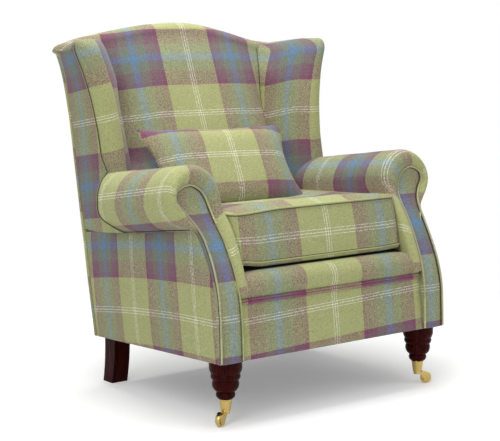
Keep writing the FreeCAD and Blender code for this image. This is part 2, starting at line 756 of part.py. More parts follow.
def castor_horn():
    """Two cheeks and a hood over the wheel, a boss under the cup and the riveted swivel pin."""
    half = WHEEL_W / 2 + WHEEL_PLAY / 2 + CHEEK_T
    deck = CUP_BOTTOM - 0.25
    neck = face(lambda x, z: V(x, -half, z), (-0.3 * BOSS_R, BOSS_Z), (-0.3 * BOSS_R, deck - 2.5),
                (BOSS_R, deck - 2.5), ("arc", (HORN_REACH + 0.2 * CHEEK_R, WHEEL_R + 1.6 * CHEEK_R),
                                 (HORN_REACH + CHEEK_R, WHEEL_R)),
                ("arc", (HORN_REACH, WHEEL_R - CHEEK_R), (HORN_REACH - CHEEK_R, WHEEL_R)),
                (BOSS_R - 4.0, BOSS_Z)).extrude(V(0, 2 * half, 0))
    boss = Part.makeCylinder(BOSS_R, deck - BOSS_Z, V(0, 0, BOSS_Z))
    pin = Part.makeCylinder(SWIVEL_PIN_R, CUP_WALL + 4.0, V(0, 0, deck - 0.5))
    head = Part.makeCylinder(SWIVEL_PIN_R + 2.4, 2.4, V(0, 0, CUP_BOTTOM + CUP_WALL + 0.25))
    slot = Part.makeCylinder(WHEEL_R + WHEEL_PLAY, WHEEL_W + WHEEL_PLAY,
                             V(HORN_REACH, -(WHEEL_W + WHEEL_PLAY) / 2, WHEEL_R), V(0, 1, 0))
    bore = Part.makeCylinder(AXLE_R, 2 * half, V(HORN_REACH, -half, WHEEL_R), V(0, 1, 0))
    return trail(neck.fuse([boss, pin, head]).cut(slot).cut(bore).removeSplitter())


def castor_axle():
    half = WHEEL_W / 2 + WHEEL_PLAY / 2 + CHEEK_T
    return trail(Part.makeCylinder(AXLE_R, 2 * half, V(HORN_REACH, -half, WHEEL_R), V(0, 1, 0)))


def castor_wheel():
    """Crowned wheel with a hub bored for the axle."""
    half, bore = WHEEL_W / 2, AXLE_R + RUNNING
    profile = face(lambda r, y: V(HORN_REACH + r, y, WHEEL_R), (bore, -half), (WHEEL_R - 3.0, -half),
                   ("arc", (WHEEL_R, 0), (WHEEL_R - 3.0, half)), (bore, half))
    return trail(profile.revolve(V(HORN_REACH, 0, WHEEL_R), V(0, 1, 0), 360))


# ---------------------------------------------------------------- loose cushions
def rounded(place, half, front, back, corner):
    """Edges of a rounded rectangle, starting in the middle of the back."""
    bulge = corner * (1 - math.sqrt(0.5))
    stops = [(0, back), (half - corner, back), (half - bulge, back - bulge), (half, back - corner),
             (half, front + corner), (half - bulge, front + bulge), (half - corner, front),
             (corner - half, front), (bulge - half, front + bulge), (-half, front + corner),
             (-half, back - corner), (bulge - half, back - bulge), (corner - half, back)]
    points = [place(*stop) for stop in stops]
    edges = [Part.makeLine(points[0], points[1])]
    for index in (1, 4, 7, 10):
        if index % 3 == 1:
            edges.append(Part.Arc(*points[index:index + 3]).toShape())
        following = points[(index + 3) % len(points)]
        edges.append(Part.makeLine(points[index + 2], following))
    return Part.Wire(edges)


def settle_on_deck(shape):
    """Tilt a cushion drawn level at the front of the deck to the pitch of the seat."""
    shape.rotate(V(0, CUSHION_FRONT - ORIGIN_BACK, deck_z(CUSHION_FRONT)), V(1, 0, 0),
                 -math.degrees(math.atan(SEAT_PITCH)))
    return shape


def seat_cushion():
    low = deck_z(CUSHION_FRONT) + SEAM_GAP
    shares = ((0.0, 8.0, 0.0), (0.09, 0.0, 0.1), (0.91, 0.0, 0.9), (1.0, 8.0, 1.0))
    wires = [rounded(plan_view(low + CUSHION_H * h), CUSHION_HALF - inset,
                     CUSHION_FRONT + CUSHION_LEAN * lean + inset, CUSHION_BACK - inset, CUSHION_CORNER)
             for h, inset, lean in shares]
    return settle_on_deck(Part.makeLoft(wires, True, True))


def seat_cushion_piping():
    """Cords round the upper and lower edges of the boxed border."""
    out = PIPE_R + PIPE_GAP
    rings = []
    for share, lean in ((0.12, 0.13), (0.88, 0.87)):
        z = deck_z(CUSHION_FRONT) + SEAM_GAP + CUSHION_H * share
        front = CUSHION_FRONT + CUSHION_LEAN * lean - out
        path = rounded(plan_view(z), CUSHION_HALF + out, front, CUSHION_BACK + out,
                       CUSHION_CORNER + out)
        ring = Part.Wire(Part.makeCircle(PIPE_R, V(0, CUSHION_BACK + out - ORIGIN_BACK, z), V(1, 0, 0)))
        rings.append(settle_on_deck(path.makePipeShell([ring], True, False)))
    return rings


def lumbar_cushion():
    """Small knife-edge cushion: pinched corners, fullest in the middle."""
    half_w, half_h, half_t = LUMBAR_W / 2, LUMBAR_H / 2, LUMBAR_T / 2
    wires = []
    for depth, grow, pinch in ((-1.0, 0.45, 0.0), (-0.62, 0.78, 0.0), (0.0, 1.0, 0.07),
                               (0.62, 0.78, 0.0), (1.0, 0.45, 0.0)):
        w, h = half_w * (1 - 0.5 * (1 - grow)), half_h * grow
        y = depth * half_t
        corner = [(-w, -h), (w, -h), (w, h), (-w, h)]
        inner = 1.0 - pinch
        middles = [(0, -h * inner), (w * inner, 0), (0, h * inner), (-w * inner, 0)]
        edges = []
        for index in range(4):
            ends = [corner[index], middles[index], corner[(index + 1) % 4]]
            places = [V(px, y, pz) for px, pz in ends]
            edges.append(spline(places).toShape() if pinch else Part.makeLine(places[0], places[2]))
        wires.append(Part.Wire(edges))
    cushion = Part.makeLoft(wires, True, False)
    cushion.rotate(V(0, 0, 0), V(1, 0, 0), -LUMBAR_LEAN)
    cushion.translate(V(0, LUMBAR_BACK - ORIGIN_BACK, LUMBAR_Z))
    return cushion


# ---------------------------------------------------------------- assembly
def build_frame():
    blocks = corner_blocks()
    bolts = [leg_bolt(LEG_X, LEG_BACK),
             leg_bolt(BACK_LEG_OUT - BACK_LEG_W / 2, BACK_LEG_BACK + BACK_LEG_W / 3)]
    bolts += [mirrored(bolt) for bolt in bolts]
    save("leg_bolts", *bolts)
    save_pair("front_post", front_post().cut(bolts[0]))
    save_pair("back_post", back_post())
    save_pair("side_rail", side_rail())
    save("front_rail", front_rail())
    save("back_rail", back_rail().cut(bolts[1]).cut(bolts[3]))
    save("back_tacking_rail", cross_rail(TACK_RAIL_Z, TACK_RAIL_Z + TACK_RAIL_H))
    save("crest_rail", crest_rail())
    save_pair("arm_rail", arm_rail())
    save_pair("wing_rail", wing_rail())
    save("corner_blocks", *blocks)
    save("seat_webbing", *seat_webbing())
    save("back_webbing", *back_webbing())
    save("seat_platform", seat_platform())
    return bolts


def build_upholstery():
    facing = arm_facing()
    panel = outside_arm()
    side = outside_wing()
    timber = [front_post(), back_post(), arm_rail(), wing_rail()]
    arm = arm_roll(timber + [panel, side, facing_block(PIPE_R + 4 * PIPE_GAP)])
    wing_pad = wing(timber + [arm, side, crest_rail()] + back_webbing())
    save_pair("arm_facing", facing)
    save_pair("facing_piping", facing_piping())
    save_pair("outside_arm", panel)
    save_pair("arm_roll", arm)
    save_pair("wing", wing_pad)
    save_pair("outside_wing", side)
    save_pair("wing_piping", wing_piping())
    save("inside_back", inside_back([wing_form(), mirrored(wing_form()), arm, mirrored(arm),
                                     crest_rail()]))
    save("outside_back", outside_back())
    save("front_border", front_border())
    save("front_lip", front_lip())
    save("lip_piping", *lip_piping())


def build_legs(bolts):
    legs = [front_leg().cut(bolts[0]), back_leg().cut(bolts[1])]
    save("dust_cover", dust_cover([front_leg(), back_leg(), mirrored(front_leg()),
                                   mirrored(back_leg())]))
    screws = castor_screws()
    cup = castor_cup()
    for screw in screws:
        cup = cup.cut(screw)
        legs[0] = legs[0].cut(screw)
    save_pair("front_leg", legs[0])
    save_pair("back_leg", legs[1])
    save_pair("castor_cup", cup)
    save("castor_screws", *screws, *[mirrored(screw) for screw in screws])
    save_pair("castor_horn", castor_horn())
    save_pair("castor_axle", castor_axle())
    save_pair("castor_wheel", castor_wheel())


def build_cushions():
    save("seat_cushion", seat_cushion())
    save("seat_cushion_piping", *seat_cushion_piping())
    save("lumbar_cushion", lumbar_cushion())


build_legs(build_frame())
build_upholstery()
build_cushions()
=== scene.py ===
import logging
import math
from bisect import bisect_left
from collections.abc import Callable, Iterator, Sequence
from dataclasses import dataclass, field
from enum import Enum

import bmesh
import bpy
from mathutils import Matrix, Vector, noise


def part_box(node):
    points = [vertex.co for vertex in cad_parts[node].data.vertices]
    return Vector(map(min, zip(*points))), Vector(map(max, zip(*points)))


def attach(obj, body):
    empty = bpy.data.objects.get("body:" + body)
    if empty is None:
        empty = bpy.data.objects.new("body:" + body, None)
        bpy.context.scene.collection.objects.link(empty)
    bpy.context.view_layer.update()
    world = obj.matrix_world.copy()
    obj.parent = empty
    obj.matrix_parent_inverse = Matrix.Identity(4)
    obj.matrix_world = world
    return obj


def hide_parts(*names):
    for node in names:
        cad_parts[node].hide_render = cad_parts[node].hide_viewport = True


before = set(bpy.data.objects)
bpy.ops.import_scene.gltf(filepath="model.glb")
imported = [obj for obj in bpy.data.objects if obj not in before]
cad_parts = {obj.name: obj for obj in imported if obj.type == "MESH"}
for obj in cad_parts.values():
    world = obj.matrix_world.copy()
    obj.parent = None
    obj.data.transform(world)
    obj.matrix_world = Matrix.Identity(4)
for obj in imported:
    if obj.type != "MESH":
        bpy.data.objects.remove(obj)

LOG = logging.getLogger("fireside_chair")
Point = tuple[float, float, float]
Weave = tuple[float, float]
Runs = list[list[Point]]
MM = 0.001
WHITE = "#ffffff"
WEAVE = "weave"          # UV map: one unit is one repeat of the check, 0 is its white centre line
UP_REPEAT = 358.0        # repeat of the check up the cloth
ACROSS_REPEAT = 385.0    # and across it
SIDE_REPEAT = 278.0      # across, on the pieces cut along the depth of the chair
BACK_WHITE_Z = 752.0     # height of the white line on the wings and on both sides of the back


class Side(Enum):
    """Which of a pair: the drawing is made at +X and mirrored for the left."""

    LEFT = -1
    RIGHT = 1

    @property
    def tag(self) -> str:
        """The side as the nodes name it."""
        return self.name.lower()


class Body(Enum):
    """Bodies that the dressed pieces ride on."""

    CHAIR = "chair"
    SEAT_CUSHION = "seat_cushion"
    BACK_CUSHION = "lumbar_cushion"


class Slot(Enum):
    """Material slots of the record."""

    TARTAN = "tartan"
    PIPING = "piping"


class Fill(Enum):
    """How tightly the pieces are stuffed."""

    BOARD = 0.9
    ROLL = 0.8
    BOXED = 0.7
    LOOSE = 0.6


# ------------------------------------------------------------------ small helpers
def linear(code: str) -> tuple[float, float, float, float]:
    """Turn an sRGB hex colour into linear light.

    Args:
        code: colour as "#rrggbb".

    Returns:
        Linear red, green, blue and an alpha of 1.
    """
    parts = [int(code[i:i + 2], 16) / 255 for i in (1, 3, 5)]
    red, green, blue = [c / 12.92 if c <= 0.04045 else ((c + 0.055) / 1.055) ** 2.4 for c in parts]
    return red, green, blue, 1.0


def feed(tree: bpy.types.NodeTree, node: bpy.types.Node, inputs: dict) -> None:
    """Give sockets of a node, by name or number, their values or another node's output."""
    for name, value in inputs.items():
        if isinstance(value, bpy.types.NodeSocket):
            tree.links.new(value, node.inputs[name])
        else:
            node.inputs[name].default_value = value


def add_node(tree: bpy.types.NodeTree, kind: str, settings: dict | None = None,
             inputs: dict | None = None) -> bpy.types.Node:
    """Add one node.

    Args:
        tree: tree that gets the node.
        kind: Blender's name of the node.
        settings: attributes of the node.
        inputs: its sockets' values and links, as feed takes them.

    Returns:
        The new node.
    """
    node = tree.nodes.new(kind)
    for name, value in (settings or {}).items():
        setattr(node, name, value)
    feed(tree, node, inputs or {})
    return node


def reckon(tree: bpy.types.NodeTree, operation: str, *values: object,
           clamp: bool = False) -> bpy.types.NodeSocket:
    """Add one Math node and return its result."""
    return add_node(tree, "ShaderNodeMath", {"operation": operation, "use_clamp": clamp},
                    dict(enumerate(values))).outputs[0]


def grain(tree: bpy.types.NodeTree, spot: bpy.types.NodeSocket, scale: float, detail: float,
          roughness: float = 0.5, distortion: float = 0.0) -> bpy.types.NodeSocket:
    """Add one noise texture at a place and return its value."""
    return add_node(tree, "ShaderNodeTexNoise", None,
                    {"Vector": spot, "Scale": scale, "Detail": detail, "Roughness": roughness,
                     "Distortion": distortion}).outputs[0]


def mix_colours(tree: bpy.types.NodeTree, share: object, first: object, second: object,
                kind: str = "MIX") -> bpy.types.NodeSocket:
    """Mix two colours and return the result."""
    return add_node(tree, "ShaderNodeMix", {"data_type": "RGBA", "blend_type": kind},
                    {"Factor": share, "A": first, "B": second}).outputs["Result"]


def relief(tree: bpy.types.NodeTree, height: bpy.types.NodeSocket, strength: float,
           distance: float) -> bpy.types.NodeSocket:
    """Add one Bump node, distance in metres, and return its normal."""
    return add_node(tree, "ShaderNodeBump", None,
                    {"Height": height, "Strength": strength, "Distance": distance}).outputs[0]


def stretched(tree: bpy.types.NodeTree, scale: Point) -> bpy.types.NodeSocket:
    """Object coordinates, scaled along each axis."""
    spot = add_node(tree, "ShaderNodeTexCoord").outputs["Object"]
    return add_node(tree, "ShaderNodeMapping", None, {"Vector": spot, "Scale": scale}).outputs[0]


def start_material(name: str) -> tuple[bpy.types.Material, bpy.types.NodeTree, bpy.types.Node]:
    """Make a material with nodes.

    Args:
        name: name of the material.

    Returns:
        The material, its tree and its surface shader.
    """
    material = bpy.data.materials.new(name)
    material.use_nodes = True
    return material, material.node_tree, material.node_tree.nodes["Principled BSDF"]


def seen_rays(tree: bpy.types.NodeTree) -> bpy.types.NodeSocket:
    """1 for rays that show a surface: from the camera, in a gloss or through glass."""
    rays = add_node(tree, "ShaderNodeLightPath").outputs
    seen = reckon(tree, "MAXIMUM", rays["Is Camera Ray"], rays["Is Glossy Ray"])
    return reckon(tree, "MAXIMUM", seen, rays["Is Transmission Ray"])


def smooth_step(value: float, low: float = 0.0, high: float = 1.0) -> float:
    """Ease from 0 at low to 1 at high."""
    share = min(max((value - low) / (high - low), 0.0), 1.0)
    return share * share * (3 - 2 * share)


def soft_min(first: float, second: float, blend: float) -> float:
    """The lesser of two values, rounded where they cross."""
    share = max(blend - abs(first - second), 0.0) / blend
    return min(first, second) - share * share * blend / 4


def eased(count: int) -> list[float]:
    """Shares from 0 to 1, closer together at both ends."""
    return [(1 - math.cos(math.pi * i / count)) / 2 for i in range(count + 1)]


def by_side(left: float, right: float) -> dict[Side, float]:
    """Default of a field that has a value for each side."""
    return field(default_factory=lambda: {Side.LEFT: left, Side.RIGHT: right})


def even(count: int) -> list[float]:
    """Evenly spaced shares from 0 to 1."""
    return [i / count for i in range(count + 1)]


def lengths(points: Sequence[Sequence[float]]) -> list[float]:
    """Length of a line up to each of its points."""
    run = [0.0]
    for one, two in zip(points, points[1:]):
        run.append(run[-1] + math.dist(one, two))
    return run


def pillow(a: float, b: float, crown: float, edge: float) -> float:
    """Height of a padded face over its board.

    Args:
        a: share across the face, 0 to 1.
        b: share along the face, 0 to 1.
        crown: rise in the middle.
        edge: how far the rim is pulled down by its seam.

    Returns:
        Height in the units of crown and edge.
    """
    rim = (1 - abs(2 * a - 1) ** 16) * (1 - abs(2 * b - 1) ** 16)
    full = (max(math.sin(math.pi * a), 0) * max(math.sin(math.pi * b), 0)) ** 0.6
    return crown * full + edge * (rim - 1)


def ripple(x: float, d: float, z: float, size: float, depth: float, seed: float = 0.0) -> float:
    """Slight unevenness of stuffing, the same on every run.

    Args:
        x: place across, mm.
        d: place back, mm.
        z: height, mm.
        size: length of a wave, mm.
        depth: height of a wave, mm.
        seed: shifts the pattern.

    Returns:
        Offset in mm.
    """
    return depth * noise.noise(Vector((x / size + seed, d / size, z / size)))


@dataclass(frozen=True)
class Curve:
    """A smooth line through given points, for any number of values."""

    points: tuple[tuple[float, ...], ...]

    def at(self, place: float) -> tuple[float, ...]:
        """Point at a place from 0 to the number of spans."""
        last = len(self.points) - 1
        span = min(max(int(place), 0), last - 1)
        t = min(max(place - span, 0.0), 1.0)
        near = (self.points[min(max(span + i, 0), last)] for i in (-1, 0, 1, 2))
        return tuple(0.5 * (2 * b + (c - a) * t + (2 * a - 5 * b + 4 * c - d) * t ** 2
                            + (3 * b - a - 3 * c + d) * t ** 3) for a, b, c, d in zip(*near))

    def spread(self, count: int) -> list[tuple[float, ...]]:
        """Points evenly spaced along the line.

        Args:
            count: number of spans.

        Returns:
            count + 1 points.
        """
        spans, samples = len(self.points) - 1, 400
        fine = [self.at(spans * i / samples) for i in range(samples + 1)]
        run = lengths(fine)
        line = []
        for i in range(count + 1):
            goal = run[-1] * i / count
            k = min(max(bisect_left(run, goal), 1), samples)
            t = (goal - run[k - 1]) / max(run[k] - run[k - 1], 1e-9)
            line.append(tuple(a + (b - a) * t for a, b in zip(fine[k - 1], fine[k])))
        return line


def reader(points: Sequence[tuple[float, float]]) -> Callable[[float], float]:
    """A function that reads the second value of a rising table at any first value."""
    keys = [point[0] for point in points]

    def read(key: float) -> float:
        """Value at a key, held at both ends."""
        k = min(max(bisect_left(keys, key), 1), len(keys) - 1)
        (x0, y0), (x1, y1) = points[k - 1], points[k]
        return y0 + (y1 - y0) * min(max((key - x0) / max(x1 - x0, 1e-9), 0.0), 1.0)
    return read


# ------------------------------------------------------------------ the chair's lines
@dataclass(frozen=True)
class Lines:
    """Lines that the pieces share, in millimetres; d is the distance back from the front's foot."""

    half_body: float = 386.0
    base_front: float = 168.0
    base_rear: float = 140.0
    base_length: float = 601.0
    rake: float = math.tan(math.radians(11.0))
    web_front: float = 325.0
    pitch: float = 0.05
    deck_rise: float = 78.0
    arm_r: float = 83.0
    arm_x: float = 369.0
    arm_front: float = 120.0
    arm_front_z: float = 577.0
    arm_slope: float = 0.135
    seat_half: float = 285.0
    wing_r: float = 35.0
    wing_low: float = 600.0
    wing_top: float = 965.0
    wing_rise: float = 350.0
    wing_flare: float = 60.0
    flare_power: float = 2.35
    wing_foot_d: float = 540.0
    wing_lean: float = 0.147
    crease_x: float = 258.0
    inside_d: float = 530.0
    inside_z: float = 530.0
    inside_lean: float = 0.39
    tail_top_d: float = 520.0
    tail_top_z: float = 600.0
    crest_r: float = 29.0
    back_drop: float = 45.0
    # stuffed by hand, so the left shoulder is the fuller one
    crest_line: tuple = ((-416.0, 936.0), (-406.0, 948.0), (-369.0, 962.0), (-328.0, 972.0),
                         (-285.0, 980.0), (-243.0, 988.0), (-180.0, 998.0), (-118.0, 1006.0),
                         (-24.0, 1011.5), (20.0, 1011.0), (75.0, 1005.0), (130.0, 993.5),
                         (188.0, 979.0), (224.0, 969.0), (277.0, 958.0), (340.0, 951.0),
                         (385.0, 944.0), (408.0, 937.0), (416.0, 926.0))
    front_shape: tuple = ((0.0, 168.0), (6.9, 294.8), (29.9, 380.0), (73.1, 462.1),
                          (122.0, 530.1), (138.0, 590.1), (139.9, 679.9))
    facing_shape: tuple = ((317.0, 168.0), (317.8, 290.0), (319.0, 400.0), (322.0, 475.0),
                           (328.0, 545.0), (345.0, 586.0), (380.0, 606.0), (416.0, 595.0),
                           (426.0, 570.0), (402.0, 534.0), (383.0, 492.0), (379.0, 440.0),
                           (381.0, 370.0), (385.0, 280.0), (386.0, 168.0))
    tail_shape: tuple = ((440.0, 450.7), (496.0, 488.1), (502.0, 542.0), (520.0, 600.0))

    def base(self, d: float) -> float:
        """Underside of the base."""
        return self.base_front - (self.base_front - self.base_rear) * d / self.base_length

    def rear(self, z: float, inset: float = 0.0) -> float:
        """The raked outside back, or a plane that far inside it."""
        slope = math.hypot(1, self.rake)
        return self.base_length + (z - self.base_rear) * self.rake - inset * slope

    def rail(self, d: float) -> float:
        """Top of the seat rails."""
        return self.web_front - self.pitch * d

    def deck(self, d: float) -> float:
        """Top of the padded platform under the cushion."""
        return self.rail(d) + self.deck_rise

    def arm(self, d: float) -> float:
        """Axis of the rolled arm."""
        return self.arm_front_z - self.arm_slope * (d - self.arm_front)

    def seam(self, d: float) -> float:
        """Seam under the rolled arm."""
        return self.arm(d) - self.arm_r * math.hypot(1, self.arm_slope) - 0.3

    def inside(self, z: float) -> float:
        """Front of the inside back."""
        return self.inside_d + self.inside_lean * max(0.0, z - self.inside_z)

    def crest(self, x: float) -> float:
        """Height of the crest."""
        return CREST_READ(x)

    def crest_round(self, x: float) -> float:
        """Radius of the crest roll, which thins out towards its tips."""
        return (self.crest_r - 12.0 * smooth_step(abs(x), 262.0, 390.0)
                - 9.0 * smooth_step(abs(x), 392.0, 416.0))

    def crest_drop(self, x: float) -> float:
        """How far under the crest the outside back ends."""
        return self.back_drop - 27.0 * smooth_step(abs(x), 285.0, 400.0)

    def share(self, z: float) -> float:
        """How far up the wing a height is."""
        return max(0.0, (z - self.wing_low) / self.wing_rise)

    def flare(self, z: float) -> float:
        """Share of the wing's flare at a height."""
        return self.share(z) ** self.flare_power

    def wing_out(self, z: float) -> float:
        """Outer seam of the wing."""
        return self.half_body + self.wing_flare * self.flare(z)

    def wing_round(self, z: float) -> float:
        """Radius of the wing's front roll."""
        return self.wing_r + 5.0 * self.flare(z)

    def wing_x(self, z: float) -> float:
        """Middle of the wing's front roll."""
        return self.wing_out(z) - self.wing_round(z)

    def wing_d(self, z: float) -> float:
        """The same, back."""
        return self.wing_foot_d + self.wing_lean * (z - self.wing_low)

    def rear_x(self, z: float) -> float:
        """Outer rear corner of the back."""
        return self.half_body + 24.0 * self.share(z) ** 4 + 7.0 * self.share(z) ** 12

    def crease(self, z: float) -> float:
        """Where wing and inside back meet."""
        return self.crease_x + 16.0 * smooth_step(z, 830.0, self.wing_top)

    def fold(self, z: float) -> float:
        """How far back they meet."""
        return self.inside(z) + 38.0 - 24.0 * smooth_step(z, 760.0, 870.0)

    def tail(self, z: float) -> float:
        """Rear end of the arm roll's outer part."""
        if z > self.tail_top_z:
            return self.tail_top_d + 0.3 * (z - self.tail_top_z)
        return TAIL_READ(z)

    def front(self, z: float) -> float:
        """Swept front of the arm facing."""
        return FRONT_READ(z)


LINE = Lines()
TAIL_READ = reader([(z, d) for d, z in Curve(LINE.tail_shape).spread(60)])
CREST_READ = reader(Curve(LINE.crest_line).spread(400))
FRONT_READ = reader([(z, d) for d, z in Curve(LINE.front_shape).spread(200)])
BORDER_FOOT = 3.0        # how far back the front border's foot lies
ORIGIN_BACK = BORDER_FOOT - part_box("front_border")[0].y / MM


def place(x: float, d: float, z: float) -> Vector:
    """A point of the drawing in the model's frame, in metres."""
    return Vector((x, d - ORIGIN_BACK, z)) * MM


# ------------------------------------------------------------------ making pieces
def start_form() -> tuple[bmesh.types.BMesh, bmesh.types.BMLayerItem]:
    """Start a shape with its map of the cloth."""
    form = bmesh.new()
    return form, form.loops.layers.uv.new(WEAVE)


def cells(rows: int, columns: int) -> Iterator[tuple[tuple[int, int], ...]]:
    """Corners, as row and column, of each cell of a grid with so many spans each way."""
    for r in range(rows):
        for c in range(columns):
            yield (r, c), (r, c + 1), (r + 1, c + 1), (r + 1, c)


def add_face(form: bmesh.types.BMesh, layer: bmesh.types.BMLayerItem,
             corners: Sequence[bmesh.types.BMVert], weave: Sequence[Weave]) -> None:
    """Add one face and lay its corners on the cloth."""
    for loop, spot in zip(form.faces.new(corners).loops, weave):
        loop[layer].uv = spot


def loft(name: str, rows: Sequence[Sequence[Point]], weave: Sequence[Sequence[Weave]],
         side: Side = Side.RIGHT,
         cap_cloth: Callable[[Point], Weave] | None = None) -> bpy.types.Object:
    """Skin closed rings of points into one closed piece.

    Args:
        name: name of the piece.
        rows: rings of points in mm, all with the same count.
        weave: place on the cloth of each point, with one more entry to close the ring.
        side: mirrors the piece for the left.
        cap_cloth: gives the place on the cloth of each point of the end faces.

    Returns:
        The new object, not yet dressed.
    """
    form, layer = start_form()
    verts = [[form.verts.new(place(side.value * x, d, z)) for x, d, z in row] for row in rows]
    count = len(rows[0])
    for spots in cells(len(rows) - 1, count):
        add_face(form, layer, [verts[r][c % count] for r, c in spots],
                 [weave[r][c] for r, c in spots])
    for r in (0, len(rows) - 1):
        add_face(form, layer, verts[r],
                 [cap_cloth(point) for point in rows[r]] if cap_cloth else weave[r])
    bmesh.ops.remove_doubles(form, verts=form.verts, dist=0.05 * MM)
    bmesh.ops.recalc_face_normals(form, faces=form.faces)
    return new_object(name, form)


def board(name: str, rows: Sequence, shares: Sequence[float],
          spot: Callable[..., tuple[Point, Point, Weave]],
          side: Side = Side.RIGHT) -> bpy.types.Object:
    """Skin a padded board.

    Args:
        name: name of the piece.
        rows: what tells its rows apart, such as shares up the board.
        shares: shares along each row.
        spot: gives the outer point, the inner point and the cloth at a row and a share.
        side: mirrors the piece for the left.

    Returns:
        The new object, not yet dressed.
    """
    rings, weave = [], []
    for row in rows:
        outer, inner, cloth = map(list, zip(*(spot(row, share) for share in shares)))
        rings.append(outer + inner[::-1])
        weave.append(cloth + cloth[::-1] + [cloth[0]])
    return loft(name, rings, weave, side)


def new_object(name: str, form: bmesh.types.BMesh) -> bpy.types.Object:
    """Put a finished bmesh into the scene, shaded smooth.

    Args:
        name: name of the piece.
        form: the shape, which is freed.

    Returns:
        The new object.
    """
    mesh = bpy.data.meshes.new(name)
    form.to_mesh(mesh)
    form.free()
    mesh.shade_smooth()
    mesh.set_sharp_from_angle(angle=math.radians(62))
    piece = bpy.data.objects.new(name, mesh)
    bpy.context.scene.collection.objects.link(piece)
    return piece


def dress(piece: bpy.types.Object, finish: bpy.types.Material, body: Body,
          nodes: Sequence[str]) -> None:
    """Give a piece its finish, its body and the nodes it stands for.

    Args:
        piece: the finished piece.
        finish: its material.
        body: the body it moves with.
        nodes: CAD nodes that it replaces.
    """
    if not piece.data.materials:
        piece.data.materials.append(finish)
    if nodes:
        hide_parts(*nodes)
    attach(piece, body.value)
    LOG.info("%s: %d faces on %s", piece.name, len(piece.data.polygons), body.value)


def puff(piece: bpy.types.Object, held: Sequence[int], pressure: float, reach: float,
         stiff: float = 12.0) -> None:
    """Fill a closed cloth case: Blender's cloth with air pressure, kept within reach.

    Args:
        piece: the case; its mesh takes the settled shape.
        held: vertices that stay, such as seams and what rests on the deck.
        pressure: air pressure of the cloth solver.
        reach: most that a point may move, mm.
        stiff: resistance of the cloth to stretching.
    """
    scene = bpy.context.scene
    before = [vertex.co.copy() for vertex in piece.data.vertices]
    if held:
        piece.vertex_groups.new(name="held").add(list(held), 1.0, "REPLACE")
    cloth = piece.modifiers.new("fill", "CLOTH")
    settings = cloth.settings
    settings.quality = 6
    settings.use_pressure = True
    settings.uniform_pressure_force = pressure
    settings.effector_weights.gravity = 0.0
    settings.tension_stiffness = stiff
    settings.compression_stiffness = stiff
    settings.shear_stiffness = stiff / 3
    settings.bending_stiffness = 0.6
    if held:
        settings.vertex_group_mass = "held"
    first, last = 1, 20
    cloth.point_cache.frame_start, cloth.point_cache.frame_end = first, last
    for step in range(first, last + 1):
        scene.frame_set(step)
    graph = bpy.context.evaluated_depsgraph_get()
    after = [vertex.co.copy() for vertex in piece.evaluated_get(graph).data.vertices]
    piece.modifiers.remove(cloth)
    piece.vertex_groups.clear()
    scene.frame_set(first)
    limit = reach * MM
    for vertex, old, new in zip(piece.data.vertices, before, after):
        move = new - old
        if move.length > 1e-9:
            vertex.co = old + move * (limit * math.tanh(move.length / limit) / move.length)


